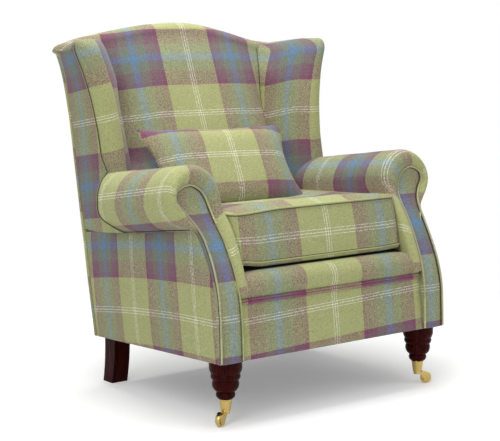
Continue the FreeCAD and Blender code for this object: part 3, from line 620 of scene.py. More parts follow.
# ------------------------------------------------------------------ finishes
@dataclass(frozen=True)
class Tartan:
    """Brushed wool check, the same threads both ways, each crossing half and half."""

    name: str = "tartan_wool"
    lime: str = "#a4a773"
    white: str = "#e2e2d0"
    mauve: str = "#7b4963"
    sage: str = "#72766a"
    haze: str = "#6c786f"
    mist: str = "#677a82"
    blue: str = "#5f7da0"
    tint: str | None = None
    tint_share: float = 0.0
    twill_mm: float = 3.2      # real twill is 1 mm, drawn coarser so that it shows
    twill_share: float = 0.10
    speckle_share: float = 3.0
    fleck_share: float = 1.3
    cloud_share: float = 0.10
    roughness: float = 0.92

    def stripes(self) -> list[tuple[float, str]]:
        """Where each colour starts, from the white centre at 0 to the blue centre at 1."""
        line, next_line = 0.0068, 0.04
        rows = [(0.0, self.white), (line, self.lime), (next_line - line, self.white),
                (next_line + line, self.lime), (0.50, self.mauve)]
        first, last, pitch = 0.58, 0.76, 0.0225
        start = first
        while start < last:      # pinstripes that widen towards the sage field
            rows.append((start, self.sage))
            rows.append((start + 0.006 + 0.5 * (start - first) / 0.18 * 0.012, self.mauve))
            start += pitch
        return rows + [(0.765, self.sage), (0.885, self.haze), (0.92, self.mist),
                       (0.95, self.blue)]

    def thread(self, tree: bpy.types.NodeTree,
               place_on: bpy.types.NodeSocket) -> bpy.types.NodeSocket:
        """Colour of the threads that run one way.

        Args:
            tree: the material's tree.
            place_on: place across those threads, in repeats.

        Returns:
            A colour socket.
        """
        mirrored = reckon(tree, "PINGPONG", place_on, 0.5)
        ramp = add_node(tree, "ShaderNodeValToRGB", None,
                        {0: reckon(tree, "MULTIPLY", mirrored, 2.0)})
        bands = ramp.color_ramp
        bands.interpolation = "CONSTANT"
        rows = self.stripes()
        while len(bands.elements) < len(rows):
            bands.elements.new(0.5)
        for element, (start, code) in zip(bands.elements, rows):
            element.position = start
            element.color = linear(code)
        return ramp.outputs[0]

    def build(self) -> bpy.types.Material:
        """Make the material.

        Returns:
            The finished material.
        """
        material, tree, shader = start_material(self.name)
        weave = add_node(tree, "ShaderNodeUVMap", {"uv_map": WEAVE})
        u, v, _ = add_node(tree, "ShaderNodeSeparateXYZ", None, {0: weave.outputs[0]}).outputs
        warp, weft = self.thread(tree, u), self.thread(tree, v)
        # diagonal of the twill, which shows warp and weft in turn
        wave = reckon(tree, "MULTIPLY", reckon(tree, "ADD", u, v),
                      2 * math.pi * ACROSS_REPEAT / self.twill_mm)
        twill = reckon(tree, "SINE", wave)
        spot = add_node(tree, "ShaderNodeTexCoord").outputs["Object"]
        speckle = reckon(tree, "SUBTRACT", grain(tree, spot, 400.0, 2.0, 0.7), 0.5)
        share = reckon(tree, "MULTIPLY_ADD", twill, self.twill_share, 0.5)
        share = reckon(tree, "MULTIPLY_ADD", speckle, self.speckle_share, share, clamp=True)
        cloth = mix_colours(tree, share, warp, weft)
        # heather: each thread is a little lighter or darker than the next
        fleck = grain(tree, spot, 260.0, 3.0, 0.75)
        level = reckon(tree, "MULTIPLY_ADD", fleck, self.fleck_share, 0.95 - self.fleck_share / 2)
        level = reckon(tree, "MULTIPLY_ADD", grain(tree, spot, 14.0, 2.0), self.cloud_share, level)
        colour = mix_colours(tree, 1.0, cloth, level, "MULTIPLY")
        if self.tint:
            colour = mix_colours(tree, self.tint_share, colour, linear(self.tint))
        height = reckon(tree, "MULTIPLY_ADD", twill, 0.25, fleck)
        feed(tree, shader, {"Base Color": colour, "Normal": relief(tree, height, 0.35, 0.0006),
                            "Roughness": self.roughness, "Specular IOR Level": 0.2,
                            "Sheen Weight": 0.12, "Sheen Roughness": 0.5})
        return material


@dataclass(frozen=True)
class Mahogany:
    """Beech turned and polished, stained dark red mahogany under a clear gloss."""

    name: str = "stained_mahogany"
    light: str = "#400805"
    dark: str = "#160302"
    grain_mm: float = 9.0

    def build(self) -> bpy.types.Material:
        """Make the material."""
        material, tree, shader = start_material(self.name)
        spot = stretched(tree, (1.0, 1.0, 0.09))
        rings = grain(tree, spot, 1000 / self.grain_mm, 6.0, 0.65, 0.6)
        ramp = add_node(tree, "ShaderNodeValToRGB", None, {0: rings})
        stops = zip(ramp.color_ramp.elements, (0.35, 0.68), (self.dark, self.light))
        for element, start, code in stops:
            element.position, element.color = start, linear(code)
        pores = relief(tree, grain(tree, spot, 900.0, 2.0), 0.12, 0.0003)
        feed(tree, shader, {"Base Color": ramp.outputs[0], "Normal": pores,
                            "Roughness": reckon(tree, "MULTIPLY_ADD", rings, 0.16, 0.2),
                            "Specular IOR Level": 0.035, "Coat Weight": 0.02,
                            "Coat Roughness": 0.08})
        return material


@dataclass(frozen=True)
class Plain:
    """A plain finish with fine variation of colour, gloss and surface.

    light and dark bound the colour; size_mm is the size of the variation.
    """

    name: str
    light: str
    dark: str
    size_mm: float
    roughness: float
    metallic: float = 0.0
    bump: float = 0.15
    stretch: Point = (1.0, 1.0, 1.0)

    def build(self) -> bpy.types.Material:
        """Make the material."""
        material, tree, shader = start_material(self.name)
        flecks = grain(tree, stretched(tree, self.stretch), 1000 / self.size_mm, 4.0, 0.6)
        gloss = reckon(tree, "MULTIPLY_ADD", flecks, 0.14, self.roughness - 0.07)
        colour = mix_colours(tree, flecks, linear(self.dark), linear(self.light))
        feed(tree, shader, {"Base Color": colour,
                            "Normal": relief(tree, flecks, self.bump, 0.0005),
                            "Roughness": gloss, "Metallic": self.metallic})
        return material


@dataclass
class Finishes:
    """Every finish of the chair, made once."""

    tartan: bpy.types.Material = field(default_factory=lambda: Tartan().build())
    cord: bpy.types.Material = field(default_factory=lambda: Tartan(
        name="tartan_cord", tint="#c0bd96", tint_share=0.5).build())
    edge_cord: bpy.types.Material = field(default_factory=lambda: Tartan(
        name="tartan_edge_cord", tint="#a3a672", tint_share=0.6).build())
    lip_cord: bpy.types.Material = field(default_factory=lambda: Tartan(
        name="tartan_lip_cord", mauve="#8a3f68").build())
    mahogany: bpy.types.Material = field(default_factory=lambda: Mahogany().build())
    # cast brass, lacquered and polished: warm yellow, nearly mirror smooth
    brass: bpy.types.Material = field(default_factory=lambda: Plain(
        "polished_brass", "#cdb675", "#ab9150", 30.0, 0.16, 1.0, 0.03).build())
    # planed beech, unfinished: pale pink-brown with fine flecks along the grain
    beech: bpy.types.Material = field(default_factory=lambda: Plain(
        "planed_beech", "#cfae84", "#b08a5e", 6.0, 0.6, 0.0, 0.2, (1.0, 1.0, 0.2)).build())
    # woven jute strap: coarse brown yarns
    webbing: bpy.types.Material = field(default_factory=lambda: Plain(
        "woven_jute_webbing", "#b59a6c", "#7d6440", 2.5, 0.9, 0.0, 0.7).build())
    # spun black polypropylene cloth: matt, with a faint pressed texture
    dust_cover: bpy.types.Material = field(default_factory=lambda: Plain(
        "black_spun_cloth", "#1c1c1d", "#0c0c0d", 1.6, 0.85, 0.0, 0.5).build())
    # thin dull brown olive lines sunk in the seams, beside the cords: painted shade of the seams
    thread: bpy.types.Material = field(default_factory=lambda: Plain(
        "painted_seam_shade_thread", "#4d4630", "#353020", 1.5, 0.9, 0.0, 0.4).build())
    # plain woven lining cloth over the padded platform, darkened to black as painted shade for the
    # gap under the cushion's front
    platform: bpy.types.Material = field(default_factory=lambda: Plain(
        "lining_cloth_painted_shade", "#24241d", "#171712", 2.0, 0.95, 0.0, 0.6).build())
    # zinc plated steel: bright grey with a slight satin
    steel: bpy.types.Material = field(default_factory=lambda: Plain(
        "zinc_plated_steel", "#c4c6c8", "#a2a5a8", 8.0, 0.35, 1.0, 0.05).build())


# ------------------------------------------------------------------ sewn cords
@dataclass
class CordMaker:
    """Round cords that follow seams, made by Geometry Nodes.

    step is in metres; the tree is shared by every cord.
    """

    step: float = 0.004
    tree: bpy.types.NodeTree = field(init=False)
    sockets: dict[str, str] = field(init=False)

    def __post_init__(self) -> None:
        """Build the node tree."""
        tree = bpy.data.node_groups.new("sewn_cord", "GeometryNodeTree")
        face = tree.interface
        face.new_socket("Seam", in_out="INPUT", socket_type="NodeSocketGeometry")
        for name in ("Radius", "Step", "U Start", "U Rate", "V Start", "V Rate"):
            face.new_socket(name, in_out="INPUT", socket_type="NodeSocketFloat")
        face.new_socket("Finish", in_out="INPUT", socket_type="NodeSocketMaterial")
        face.new_socket("Cord", in_out="OUTPUT", socket_type="NodeSocketGeometry")
        given = add_node(tree, "NodeGroupInput").outputs
        seam = add_node(tree, "GeometryNodeMeshToCurve", None, {"Mesh": given["Seam"]})
        even_line = add_node(tree, "GeometryNodeResampleCurve", {"mode": "LENGTH"},
                             {"Curve": seam.outputs[0], "Length": given["Step"]})
        along = add_node(tree, "GeometryNodeSplineParameter")
        marked = add_node(tree, "GeometryNodeStoreNamedAttribute",
                          {"data_type": "FLOAT", "domain": "POINT"},
                          {"Geometry": even_line.outputs[0], "Name": "along",
                           "Value": along.outputs["Length"]})
        ring = add_node(tree, "GeometryNodeCurvePrimitiveCircle", None,
                        {"Resolution": 10, "Radius": given["Radius"]})
        tube = add_node(tree, "GeometryNodeCurveToMesh", None,
                        {"Curve": marked.outputs[0], "Profile Curve": ring.outputs[0],
                         "Fill Caps": True})
        length = add_node(tree, "GeometryNodeInputNamedAttribute", {"data_type": "FLOAT"},
                          {"Name": "along"})
        parts = {}
        for axis in ("U", "V"):
            parts[axis] = add_node(tree, "ShaderNodeMath", {"operation": "MULTIPLY_ADD"},
                                   {0: length.outputs[0], 1: given[f"{axis} Rate"],
                                    2: given[f"{axis} Start"]}).outputs[0]
        spot = add_node(tree, "ShaderNodeCombineXYZ", None, {0: parts["U"], 1: parts["V"]})
        woven = add_node(tree, "GeometryNodeStoreNamedAttribute",
                         {"data_type": "FLOAT2", "domain": "CORNER"},
                         {"Geometry": tube.outputs[0], "Name": WEAVE, "Value": spot.outputs[0]})
        soft = add_node(tree, "GeometryNodeSetShadeSmooth", None, {"Geometry": woven.outputs[0]})
        whole = add_node(tree, "GeometryNodeRealizeInstances", None, {"Geometry": soft.outputs[0]})
        done = add_node(tree, "GeometryNodeSetMaterial", None,
                        {"Geometry": whole.outputs[0], "Material": given["Finish"]})
        out = add_node(tree, "NodeGroupOutput")
        tree.links.new(done.outputs[0], out.inputs["Cord"])
        self.tree = tree
        self.sockets = {item.name: item.identifier for item in face.items_tree}

    def make(self, name: str, runs: Runs, finish: bpy.types.Material, start: Weave, rate: Weave,
             radius: float, closed: bool) -> bpy.types.Object:
        """Make one piece of cord, of one or more runs.

        Args:
            name: name of the piece.
            runs: each run's points in mm.
            finish: material of the cord.
            start: place on the cloth where a run starts, in repeats.
            rate: change of that place per metre.
            radius: radius in metres.
            closed: whether the runs close on themselves.

        Returns:
            The cord as a plain mesh object.
        """
        form = bmesh.new()
        for points in runs:
            verts = [form.verts.new(place(*point)) for point in points]
            for one, two in zip(verts, verts[1:]):
                form.edges.new((one, two))
            if closed:
                form.edges.new((verts[-1], verts[0]))
        line = new_object(name, form)
        maker = line.modifiers.new("cord", "NODES")
        maker.node_group = self.tree
        values = {"Radius": radius, "Step": self.step, "U Start": start[0],
                  "U Rate": rate[0], "V Start": start[1], "V Rate": rate[1], "Finish": finish}
        for key, value in values.items():
            maker[self.sockets[key]] = value
        graph = bpy.context.evaluated_depsgraph_get()
        mesh = bpy.data.meshes.new_from_object(line.evaluated_get(graph), depsgraph=graph)
        line.modifiers.remove(maker)
        old = line.data
        line.data = mesh
        bpy.data.meshes.remove(old)
        form = bmesh.new()
        form.from_mesh(mesh)
        bmesh.ops.recalc_face_normals(form, faces=form.faces)
        form.to_mesh(mesh)
        form.free()
        return line


# ------------------------------------------------------------------ arm fronts
@dataclass
class ArmFacing:
    """Padded board with a scroll head, swept back from the foot."""

    thick: float = 16.0
    crown: float = 3.2
    edge: float = 4.0
    repeat: float = 377.0
    rows: int = 96
    columns: int = 22
    blue_x: float = 345.0
    white_z: float = 280.0
    flange: float = 1.5
    cord_proud: float = 3.3
    cord_foot: float = 171.5

    def __post_init__(self) -> None:
        """Read the outline into one table for each edge."""
        outline = Curve(LINE.facing_shape).spread(360)
        peak = max(range(len(outline)), key=lambda i: outline[i][1])
        self.top = outline[peak][1]
        self.inner = reader([(z, x) for x, z in outline[:peak + 1]])
        self.outer = reader([(z, x) for x, z in reversed(outline[peak:])])
        self.outline = outline
        self.peak = peak

    def build(self, side: Side) -> bpy.types.Object:
        """Make one facing.

        Args:
            side: left or right.

        Returns:
            The new object.
        """
        foot = LINE.base_front
        heights = [foot + (self.top - foot) * (1 - (1 - s) ** 2) for s in even(self.rows)]
        runs = lengths([(LINE.front(z), z) for z in heights])

        def spot(row: tuple[float, float], t: float) -> tuple[Point, Point, Weave]:
            """One place on the facing, in the row of that height and length up the front."""
            z, run = row
            d, x0, x1 = LINE.front(z), self.inner(z), self.outer(z)
            x = x0 + (x1 - x0) * t
            rim = min((x1 - x0) / 40.0, 1.0)
            rise = self.crown * rim * max(math.sin(math.pi * t), 0) ** 0.6
            rise += self.edge * ((1 - abs(2 * t - 1) ** 16) - 1)
            rise += ripple(side.value * x, d, z, 45.0, 0.9)
            # the cord's flange closes the outermost edge
            return ((x, d - self.flange if t in (0.0, 1.0) else d + 2.0 - rise, z),
                    (x, d + self.thick, z),
                    ((x - self.blue_x) / ACROSS_REPEAT + 0.5,
                     (run + foot - self.white_z) / self.repeat))

        return board(f"facing_cover_{side.tag}", list(zip(heights, runs)), eased(self.columns),
                     spot, side)

    def seam(self, side: Side, low: float, high: float, sunk: float = 0.0,
             beside: float = 0.0) -> list[Point]:
        """Part of the line of the cord along the facing's edge.

        Args:
            side: left or right.
            low: share along the edge where the part starts; 0 is the inner foot.
            high: share where it ends; 1 is the outer foot.
            sunk: how much deeper than a full cord it lies, mm.
            beside: how far outside the cord it runs, mm.

        Returns:
            Points in mm.
        """
        count = 260
        outline = Curve(LINE.facing_shape).spread(count)
        line = []
        for i in range(int(count * low), int(count * high) + 1):
            x, z = outline[i]
            one, two = outline[max(i - 1, 0)], outline[min(i + 1, count)]
            run = math.dist(one, two)
            x += beside * -(two[1] - one[1]) / run
            z = max(z + beside * (two[0] - one[0]) / run, self.cord_foot)
            slope = (LINE.front(z + 2) - LINE.front(z - 2)) / 4
            lift = (self.cord_proud - sunk) / math.hypot(1, slope)
            line.append((side.value * x, LINE.front(z) - lift, z + lift * slope))
        return line


# ------------------------------------------------------------------ rolled arms
@dataclass
class RolledArm:
    """Inner arm pad and rolled top in one piece of padding, pleated round the facing's head."""

    facing: ArmFacing
    nose: float = 34.0
    pad_nose: float = 17.0
    proud: float = 6.0
    end: float = 600.0
    low: float = 334.0
    lengths: int = 44
    white_d: dict[Side, float] = by_side(171.0, 146.0)
    white_turn: float = 17.0
    gather_from: float = 154.0
    gather_to: float = 240.0
    nose_rate: float = 0.58
    pleats: int = 15
    pleat_depth: float = 2.4
    nose_cells: int = 9        # from the facing's edge to the front of the nose
    bend_cells: int = 12       # and from there on to the straight of the arm
    nose_share: float = 0.44   # share of the way out to the full section that the nose takes
    wing_turn: float = 78.0    # where the roll meets the wing's seam, degrees
    under_turn: float = -77.0  # where it meets the panel under it
    shoulder: float = 548.0    # height on the facing where the pad gives way to the roll

    def section(self) -> list[tuple[float, float, float, float]]:
        """Pair each point of the facing's edge with its place on the arm's section.

        Returns:
            For each point: x and z on the facing, share up the inner pad (1 on the roll), and
            the angle on the roll in degrees.
        """
        outline, peak = self.facing.outline, self.facing.peak
        stations = [(self.facing.inner(z), z) for z in (self.low, self.shoulder)]
        stations += [outline[peak], *LINE.facing_shape[8:11]]
        marks = [min(range(len(outline)), key=lambda i: math.dist(outline[i], p)) for p in stations]
        goals = [0.0, 180.0, 92.0, -4.0, -44.0, self.under_turn]
        counts = [26, 34, 44, 24, 18]
        pairs = []
        for k, count in enumerate(counts):
            for i in range(count + (k == len(counts) - 1)):
                t = i / count
                place_on = marks[k] + (marks[k + 1] - marks[k]) * t
                low = int(place_on)
                high = min(low + 1, len(outline) - 1)
                x, z = (one + (two - one) * (place_on - low)
                        for one, two in zip(outline[low], outline[high]))
                if k == 0:
                    pairs.append((x, z, t, 180.0))
                else:
                    pairs.append((x, z, 1.0, goals[k] + (goals[k + 1] - goals[k]) * t))
        return pairs

    def outside(self, share: float, turn: float, d: float) -> tuple[float, float]:
        """The arm's section at a distance back.

        Args:
            share: share up the inner pad.
            turn: angle on the roll, degrees.
            d: distance back.

        Returns:
            x and z in mm.
        """
        axis = LINE.arm(d)
        if share < 1.0:
            low = LINE.rail(d) + 5.0
            x = LINE.seat_half + 1.0 - 1.5 * math.sin(math.pi * share)
            return x, low + (axis - low) * share
        angle = math.radians(turn)
        x = LINE.arm_x + LINE.arm_r * math.cos(angle)
        z = axis + LINE.arm_r * math.sin(angle)
        if x > LINE.half_body:
            t = min(max((LINE.tail(z) - d) / 46.0, 0.0), 1.0)
            full = math.sqrt(max(1 - (1 - t) ** 2, 0.0))
            x = LINE.half_body - 2.5 + (x - LINE.half_body + 2.5) * full
        return x, z

    def tail_line(self, side: Side, out: float, ahead: float = 0.0) -> list[Point]:
        """Line of the cord round the rear end of the roll, from the wing to the seam under it.

        Args:
            side: left or right.
            out: how far outside the roll, mm.
            ahead: how far in front of the cord, mm.

        Returns:
            Points in mm.
        """
        line, count = [], 51
        for i in range(count + 1):
            turn = self.wing_turn - (self.wing_turn - self.under_turn) * i / count
            angle = math.radians(turn)
            lead = (33.0 * smooth_step(self.wing_turn - turn, 0.0, 46.0)
                    * smooth_step(turn - self.under_turn, 0.0, 37.0))
            d = LINE.tail(LINE.arm(500.0) + LINE.arm_r * math.sin(angle)) - lead - ahead
            x, z = self.outside(1.0, turn, d)
            line.append((side.value * (x + out * math.cos(angle)), d, z + out * math.sin(angle)))
        return line

    def path(self, side: Side, fx: float, fz: float, share: float,
             turn: float) -> tuple[list[Point], float]:
        """One line of the cover, from the facing's edge round the nose and back along the arm.

        Args:
            side: left or right.
            fx: place across on the facing's edge, mm.
            fz: height there, mm.
            share: share up the inner pad.
            turn: angle on the roll, degrees.

        Returns:
            Points in mm, and how far back the straight part starts.
        """
        edge = LINE.front(fz) + 3.0
        nose_z = self.outside(share, turn, LINE.arm_front)[1]
        plane = LINE.arm_front + LINE.arm_slope * (nose_z - LINE.arm_front_z)
        head = smooth_step(fz, 470.0, 560.0)
        front = soft_min(LINE.front(fz) - self.proud, plane, 12.0)
        front = min(front, edge - 3.0 - 6.0 * head)
        radius = self.pad_nose + (self.nose - self.pad_nose) * head
        pleat = 0.0
        if turn < 176.0 and share >= 1.0:
            way = (turn - self.under_turn) / (180.0 - self.under_turn)
            pleat = abs(math.sin(math.pi * self.pleats * way)) ** 0.5 - 0.75
        points = []
        for a in even(self.nose_cells):
            bend = math.radians(90 * a)
            r = self.nose_share * (1 - math.cos(bend))
            x, z = self.outside(share, turn, front)
            d = edge - (edge - front) * math.sin(bend)
            d -= self.pleat_depth * pleat * a * (1 - 0.25 * a) * head
            points.append((fx + (x - fx) * r, d, fz + (z - fz) * r))
        for b in even(self.bend_cells)[1:]:
            bend = math.radians(90 * b)
            r = self.nose_share + (1 - self.nose_share) * math.sin(bend)
            d = front + radius * (1 - math.cos(bend))
            x, z = self.outside(share, turn, d)
            fold = self.pleat_depth * pleat * 0.75 * (1 - b) * head
            points.append((fx + (x - fx) * r, d - fold, fz + (z - fz) * r))
        start = front + radius
        for t in even(self.lengths)[1:]:
            d = start + (self.end - start) * t
            x, z = self.outside(share, turn, d)
            swell = ripple(side.value * x, d, z, 90.0, 1.6, 3.0) * min(t * 8, 1)
            if share >= 1.0:
                angle = math.radians(turn)
                x += swell * math.cos(angle) * (x > 0)
                z += swell * math.sin(angle)
            else:
                x -= abs(swell)
            points.append((x, d, z))
        return points, start

    def cloth(self, side: Side, share: float, turn: float, points: list[Point],
              start: float) -> list[Weave]:
        """Place on the cloth of each point of a line, which path gives with its start.

        Args:
            side: left or right.
            share: share up the inner pad.
            turn: angle on the roll, degrees.
            points: the line.
            start: how far back its straight part starts.

        Returns:
            Places in repeats.
        """
        if share < 1.0:
            around = LINE.arm_r * math.radians(180 - self.white_turn)
            around += LINE.arm_front_z - (self.low + (LINE.arm_front_z - self.low) * share)
        else:
            around = LINE.arm_r * math.radians(turn - self.white_turn)
        runs = lengths(points)
        turned = runs[self.nose_cells + self.bend_cells]
        rate = (self.gather_to - self.gather_from) / (self.gather_to - start)
        weave = []
        for run, (_, d, _) in zip(runs, points):
            # the cloth is drawn round the nose, so it is closer there than along the arm
            if run <= turned:
                along = self.gather_from - self.nose_rate * (turned - run)
            elif d > self.gather_to:
                along = d
            else:
                along = max(d, self.gather_from + (d - start) * rate)
            if side is Side.RIGHT:
                along += 30.0 * smooth_step(1 - share, 0.0, 0.3)
            # rows sink a little towards the back
            weave.append(((along - self.white_d[side]) / SIDE_REPEAT,
                          (around + 0.03 * (d - 250.0)) / UP_REPEAT))
        return weave

    def build(self, side: Side) -> bpy.types.Object:
        """Make one arm.

        Args:
            side: left or right.

        Returns:
            The new object.
        """
        lines = []
        for fx, fz, share, turn in self.section():
            points, start = self.path(side, fx, fz, share, turn)
            lines.append((points, self.cloth(side, share, turn, points, start)))
        rows = list(zip(*(points for points, _ in lines)))
        weave = list(zip(*(cloth for _, cloth in lines + lines[:1])))
        return loft(f"arm_cover_{side.tag}", rows, weave, side)


# ------------------------------------------------------------------ outside panels
@dataclass
class OutsidePanels:
    """Flat padded boards under the arm roll and from the wing back to the corner."""

    thick: float = 12.0
    white_d: float = 110.0
    white_z: float = 269.2
    slant: float = 0.12
    wing_white_d: float = 490.0
    wing_white_z: float = 746.0
    back_white_x: float = -28.0
    back_half: float = 404.0

    def arm_panel(self, side: Side) -> bpy.types.Object:
        """Make the panel under one arm roll."""
        def spot(s: float, t: float) -> tuple[Point, Point, Weave]:
            """One place on the panel."""
            front = LINE.front(LINE.base(0) + (LINE.seam(60) - LINE.base(0)) * s) + 17.0
            d = front + (LINE.rear(300.0) - 12.0 - front) * t
            low, high = LINE.base(d), LINE.seam(d) + 3.0
            z = low + (high - low) * s
            d = front + (LINE.rear(z, self.thick) - front) * t
            rise = pillow(t, s, 3.5, 3.5) + ripple(side.value * 386.0, d, z, 110.0, 1.6, 7.0)
            # light pucker where the cloth is gathered under the front of the roll
            near = max(0.0, 1 - math.hypot((d - 140.0) / 75.0, (z - 470.0) / 38.0))
            rise += 1.8 * near * math.sin(d / 6.5 + z / 30.0)
            # the cloth hangs a little out of square: rows sink towards the back
            level = self.white_z - 0.0117 * d - 0.000131 * d * d
            return ((LINE.half_body + rise, d, z), (LINE.half_body - self.thick, d, z),
                    ((d - self.white_d - self.slant * (z - 300.0)) / SIDE_REPEAT,
                     (z - level) / UP_REPEAT))

        return board(f"side_cover_{side.tag}", eased(36), eased(60), spot, side)

    def under(self, side: Side) -> list[Point]:
        """Line under the arm roll where a thin dark line is painted as the seam's shade."""
        return [(side.value * (LINE.half_body + 1.2), d, LINE.seam(d) + 1.2)
                for d in [128.0 + 6.0 * i for i in range(53)]]

    def wing_panel(self, side: Side) -> bpy.types.Object:
        """Make the panel behind one wing's seam."""
        top = LINE.wing_top - LINE.crest_r
        low = LINE.seam(LINE.tail_top_d) - 2.0
        wing = Wing()

        def spot(s: float, t: float) -> tuple[Point, Point, Weave]:
            """One place on the panel."""
            z = low + (top - low) * s
            if z > LINE.wing_low:
                x0, d0 = LINE.wing_out(z) + wing.fuller(side, z), LINE.wing_d(z)
            else:
                x0 = LINE.half_body + wing.fuller(side, z)
                blend = smooth_step(z, 560.0, 600.0)
                d0 = LINE.tail(z) * (1 - blend) + LINE.wing_d(z) * blend - 2.0
            x = x0 + (LINE.rear_x(z) - x0) * t
            d = d0 + (LINE.rear(z, self.thick) - d0) * t
            fall = 8.0 * smooth_step(z, 800.0, top) * t
            rise = pillow(t, s, 3.0, 3.0) + ripple(side.value * x, d, z, 80.0, 1.4, 2.0)
            # rows sink towards the back, columns lean a little
            white_d = self.wing_white_d + 0.06 * (z - 640.0)
            white_z = self.wing_white_z - 0.15 * (d - 560.0)
            return ((x + rise, d, z - fall), (x - self.thick, d, z - fall),
                    ((d - white_d) / SIDE_REPEAT, (z - white_z) / UP_REPEAT))

        return board(f"wing_side_cover_{side.tag}", eased(60), eased(26), spot, side)

    def back_panel(self) -> bpy.types.Object:
        """Make the outside back."""
        low = LINE.base(LINE.rear(140.0))

        def spot(s: float, t: float) -> tuple[Point, Point, Weave]:
            """One place on the back."""
            way = 2 * t - 1
            top = LINE.crest(way * self.back_half) - LINE.crest_drop(way * self.back_half)
            z = low + (top - low) * s
            x = way * LINE.rear_x(z)
            rise = pillow(t, s, 6.0, 2.5) + ripple(x, 0, z, 120.0, 2.0, 5.0)
            return ((x, LINE.rear(z) + rise, z), (x, LINE.rear(z, self.thick), z),
                    ((x - self.back_white_x) / ACROSS_REPEAT, (z - BACK_WHITE_Z) / UP_REPEAT))

        return board("outside_back_cover", eased(60), eased(48), spot)


# ------------------------------------------------------------------ wings
@dataclass
class Wing:
    """Padded wing: thick front roll, slanting inner face, soft top."""

    low: float = 545.0
    white_z: float = BACK_WHITE_Z
    start: dict[Side, float] = by_side(16.0, 0.0)
    repeat: dict[Side, float] = by_side(405.0, 290.0)
    sink: float = 22.0
    roll_turn: float = 126.0
    roll_cells: int = 18
    face_cells: int = 20
    over_d: float = 545.0
    strip: float = 84.0
    seam_cells: int = 55
    seam_step: float = 5.5
    seam_inset: float = 15.0   # how far under the wing's top the seam starts
    crease_cells: int = 49
    crease_step: float = 5.6
    crease_top: float = 938.0

    def radius(self, z: float) -> float:
        """Radius of the front roll, which rounds over at the top."""
        full = LINE.wing_round(z)
        over = min(max((z - LINE.wing_top + full) / full, 0.0), 1.0)
        return full * (0.36 + 0.64 * math.sqrt(1 - over * over))

    def ring(self, z: float, radius: float) -> list[tuple[float, float]]:
        """Plan outline of the wing.

        Args:
            z: height.
            radius: radius of the front roll there.

        Returns:
            x and d of each point; the first is the outer seam.
        """
        x, d = LINE.wing_x(z), LINE.wing_d(z)
        shrink = LINE.wing_round(z) - radius
        line = []
        for i in range(self.roll_cells + 1):
            angle = math.radians(self.roll_turn * i / self.roll_cells)
            line.append((x + radius * math.cos(angle), d - radius * math.sin(angle)))
        last = line[-1]
        crease = (LINE.crease(z) + 0.5 * shrink - 1.0, LINE.fold(z) + 2.0)
        along = (crease[0] - last[0], crease[1] - last[1])
        across = math.hypot(*along)
        for t in even(self.face_cells)[1:]:
            bow = 8.0 * math.sin(math.pi * t) ** 0.8
            line.append((last[0] + along[0] * t - along[1] / across * bow,
                         last[1] + along[1] * t + along[0] / across * bow))
        # over the crest rail the wing ends in front of the crest roll
        bend = LINE.rear(z, 13.0)
        bend -= (bend - LINE.fold(z) - 10.0) * smooth_step(z, 872.0, 926.0)
        line.append((LINE.crease(z) + shrink, bend))
        line.append((LINE.rear_x(z) - shrink - 5.0, bend))
        line.append((x + radius - 5.0, d + 6.0))
        return line

    def fuller(self, side: Side, z: float) -> float:
        """How much wider the right wing's lower half is, mm."""
        if side is Side.LEFT:
            return 0.0
        return 7.0 * (1 - smooth_step(z, 640.0, 900.0)) + 5.0 * (1 - smooth_step(z, 600.0, 700.0))

    def build(self, side: Side) -> bpy.types.Object:
        """Make one wing.

        Args:
            side: left or right.

        Returns:
            The new object.
        """
        top = LINE.wing_top
        start = top - LINE.wing_round(top)
        levels = [self.low + (start - self.low) * t for t in even(54)]
        levels += [start + (top - start) * math.sin(math.radians(90 * a)) for a in even(12)[1:]]
        rows, weave = [], []
        for z in levels:
            ring = self.ring(z, self.radius(z))
            points, cloth, run = [], [], 0.0
            for i, (x, d) in enumerate(ring):
                swell = 0.0
                if i < self.roll_cells + self.face_cells:
                    swell = ripple(side.value * x, d, z, 70.0, 1.6, 9.0)
                # the top sinks behind its front roll to meet the crest roll
                low = max(top - LINE.crest(side.value * x) + 7.0, 0.0)
                fall = low * smooth_step(z, 860.0, top) * smooth_step(d, 600.0, 700.0)
                wide = 0.0
                if i < self.roll_cells + self.face_cells + 2:
                    wide = self.fuller(side, z) * (1 - smooth_step(i, 0.0, self.roll_cells + 1.0))
                points.append((x - 0.4 * swell + wide, d - swell, z - fall))
                run += math.dist(ring[i], ring[i - 1]) if i else 0.0
                down = self.sink * smooth_step(run, 105.0, 235.0)
                if side is Side.LEFT:       # the front strip's rows climb to its seam
                    down += (7.0 - 18.0 * run / 85.0 if run < self.strip
                             else 9.0 * (1 - smooth_step(run, 95.0, 190.0)))
                cloth.append(((run + self.start[side]) / self.repeat[side],
                              (z - self.white_z + down) / UP_REPEAT))
            cloth.append((self.start[side] / self.repeat[side], cloth[0][1]))
            rows.append(points)
            weave.append(cloth)

        def over(point: Point) -> Weave:
            """Cloth of the wing's top, which runs on from its front roll."""
            return ((LINE.wing_out(top) - point[0] + self.start[side]) / self.repeat[side],
                    (top - self.white_z + point[1] - self.over_d) / UP_REPEAT)

        return loft(f"wing_cover_{side.tag}", rows, weave, side, over)

    def seam(self, side: Side, out: float = 1.4, ahead: float = 0.0) -> list[Point]:
        """Line of the cord down the wing's outer seam to the arm.

        Args:
            side: left or right.
            out: how far outside the seam, mm.
            ahead: how far in front of it, mm.

        Returns:
            Points in mm from top to bottom.
        """
        line = []
        for i in range(self.seam_cells + 1):
            z = LINE.wing_top - self.seam_inset - self.seam_step * i
            x = LINE.wing_x(z) + self.radius(z) + out + self.fuller(side, z)
            line.append((side.value * x, LINE.wing_d(z) - ahead, z))
        return line

    def crease(self, side: Side) -> list[Point]:
        """Line of the fold where wing and inside back meet, mm from the top down."""
        heights = [self.crease_top - self.crease_step * i for i in range(self.crease_cells + 1)]
        return [(side.value * (LINE.crease(z) - 0.5), LINE.fold(z) - 1.4, z) for z in heights]


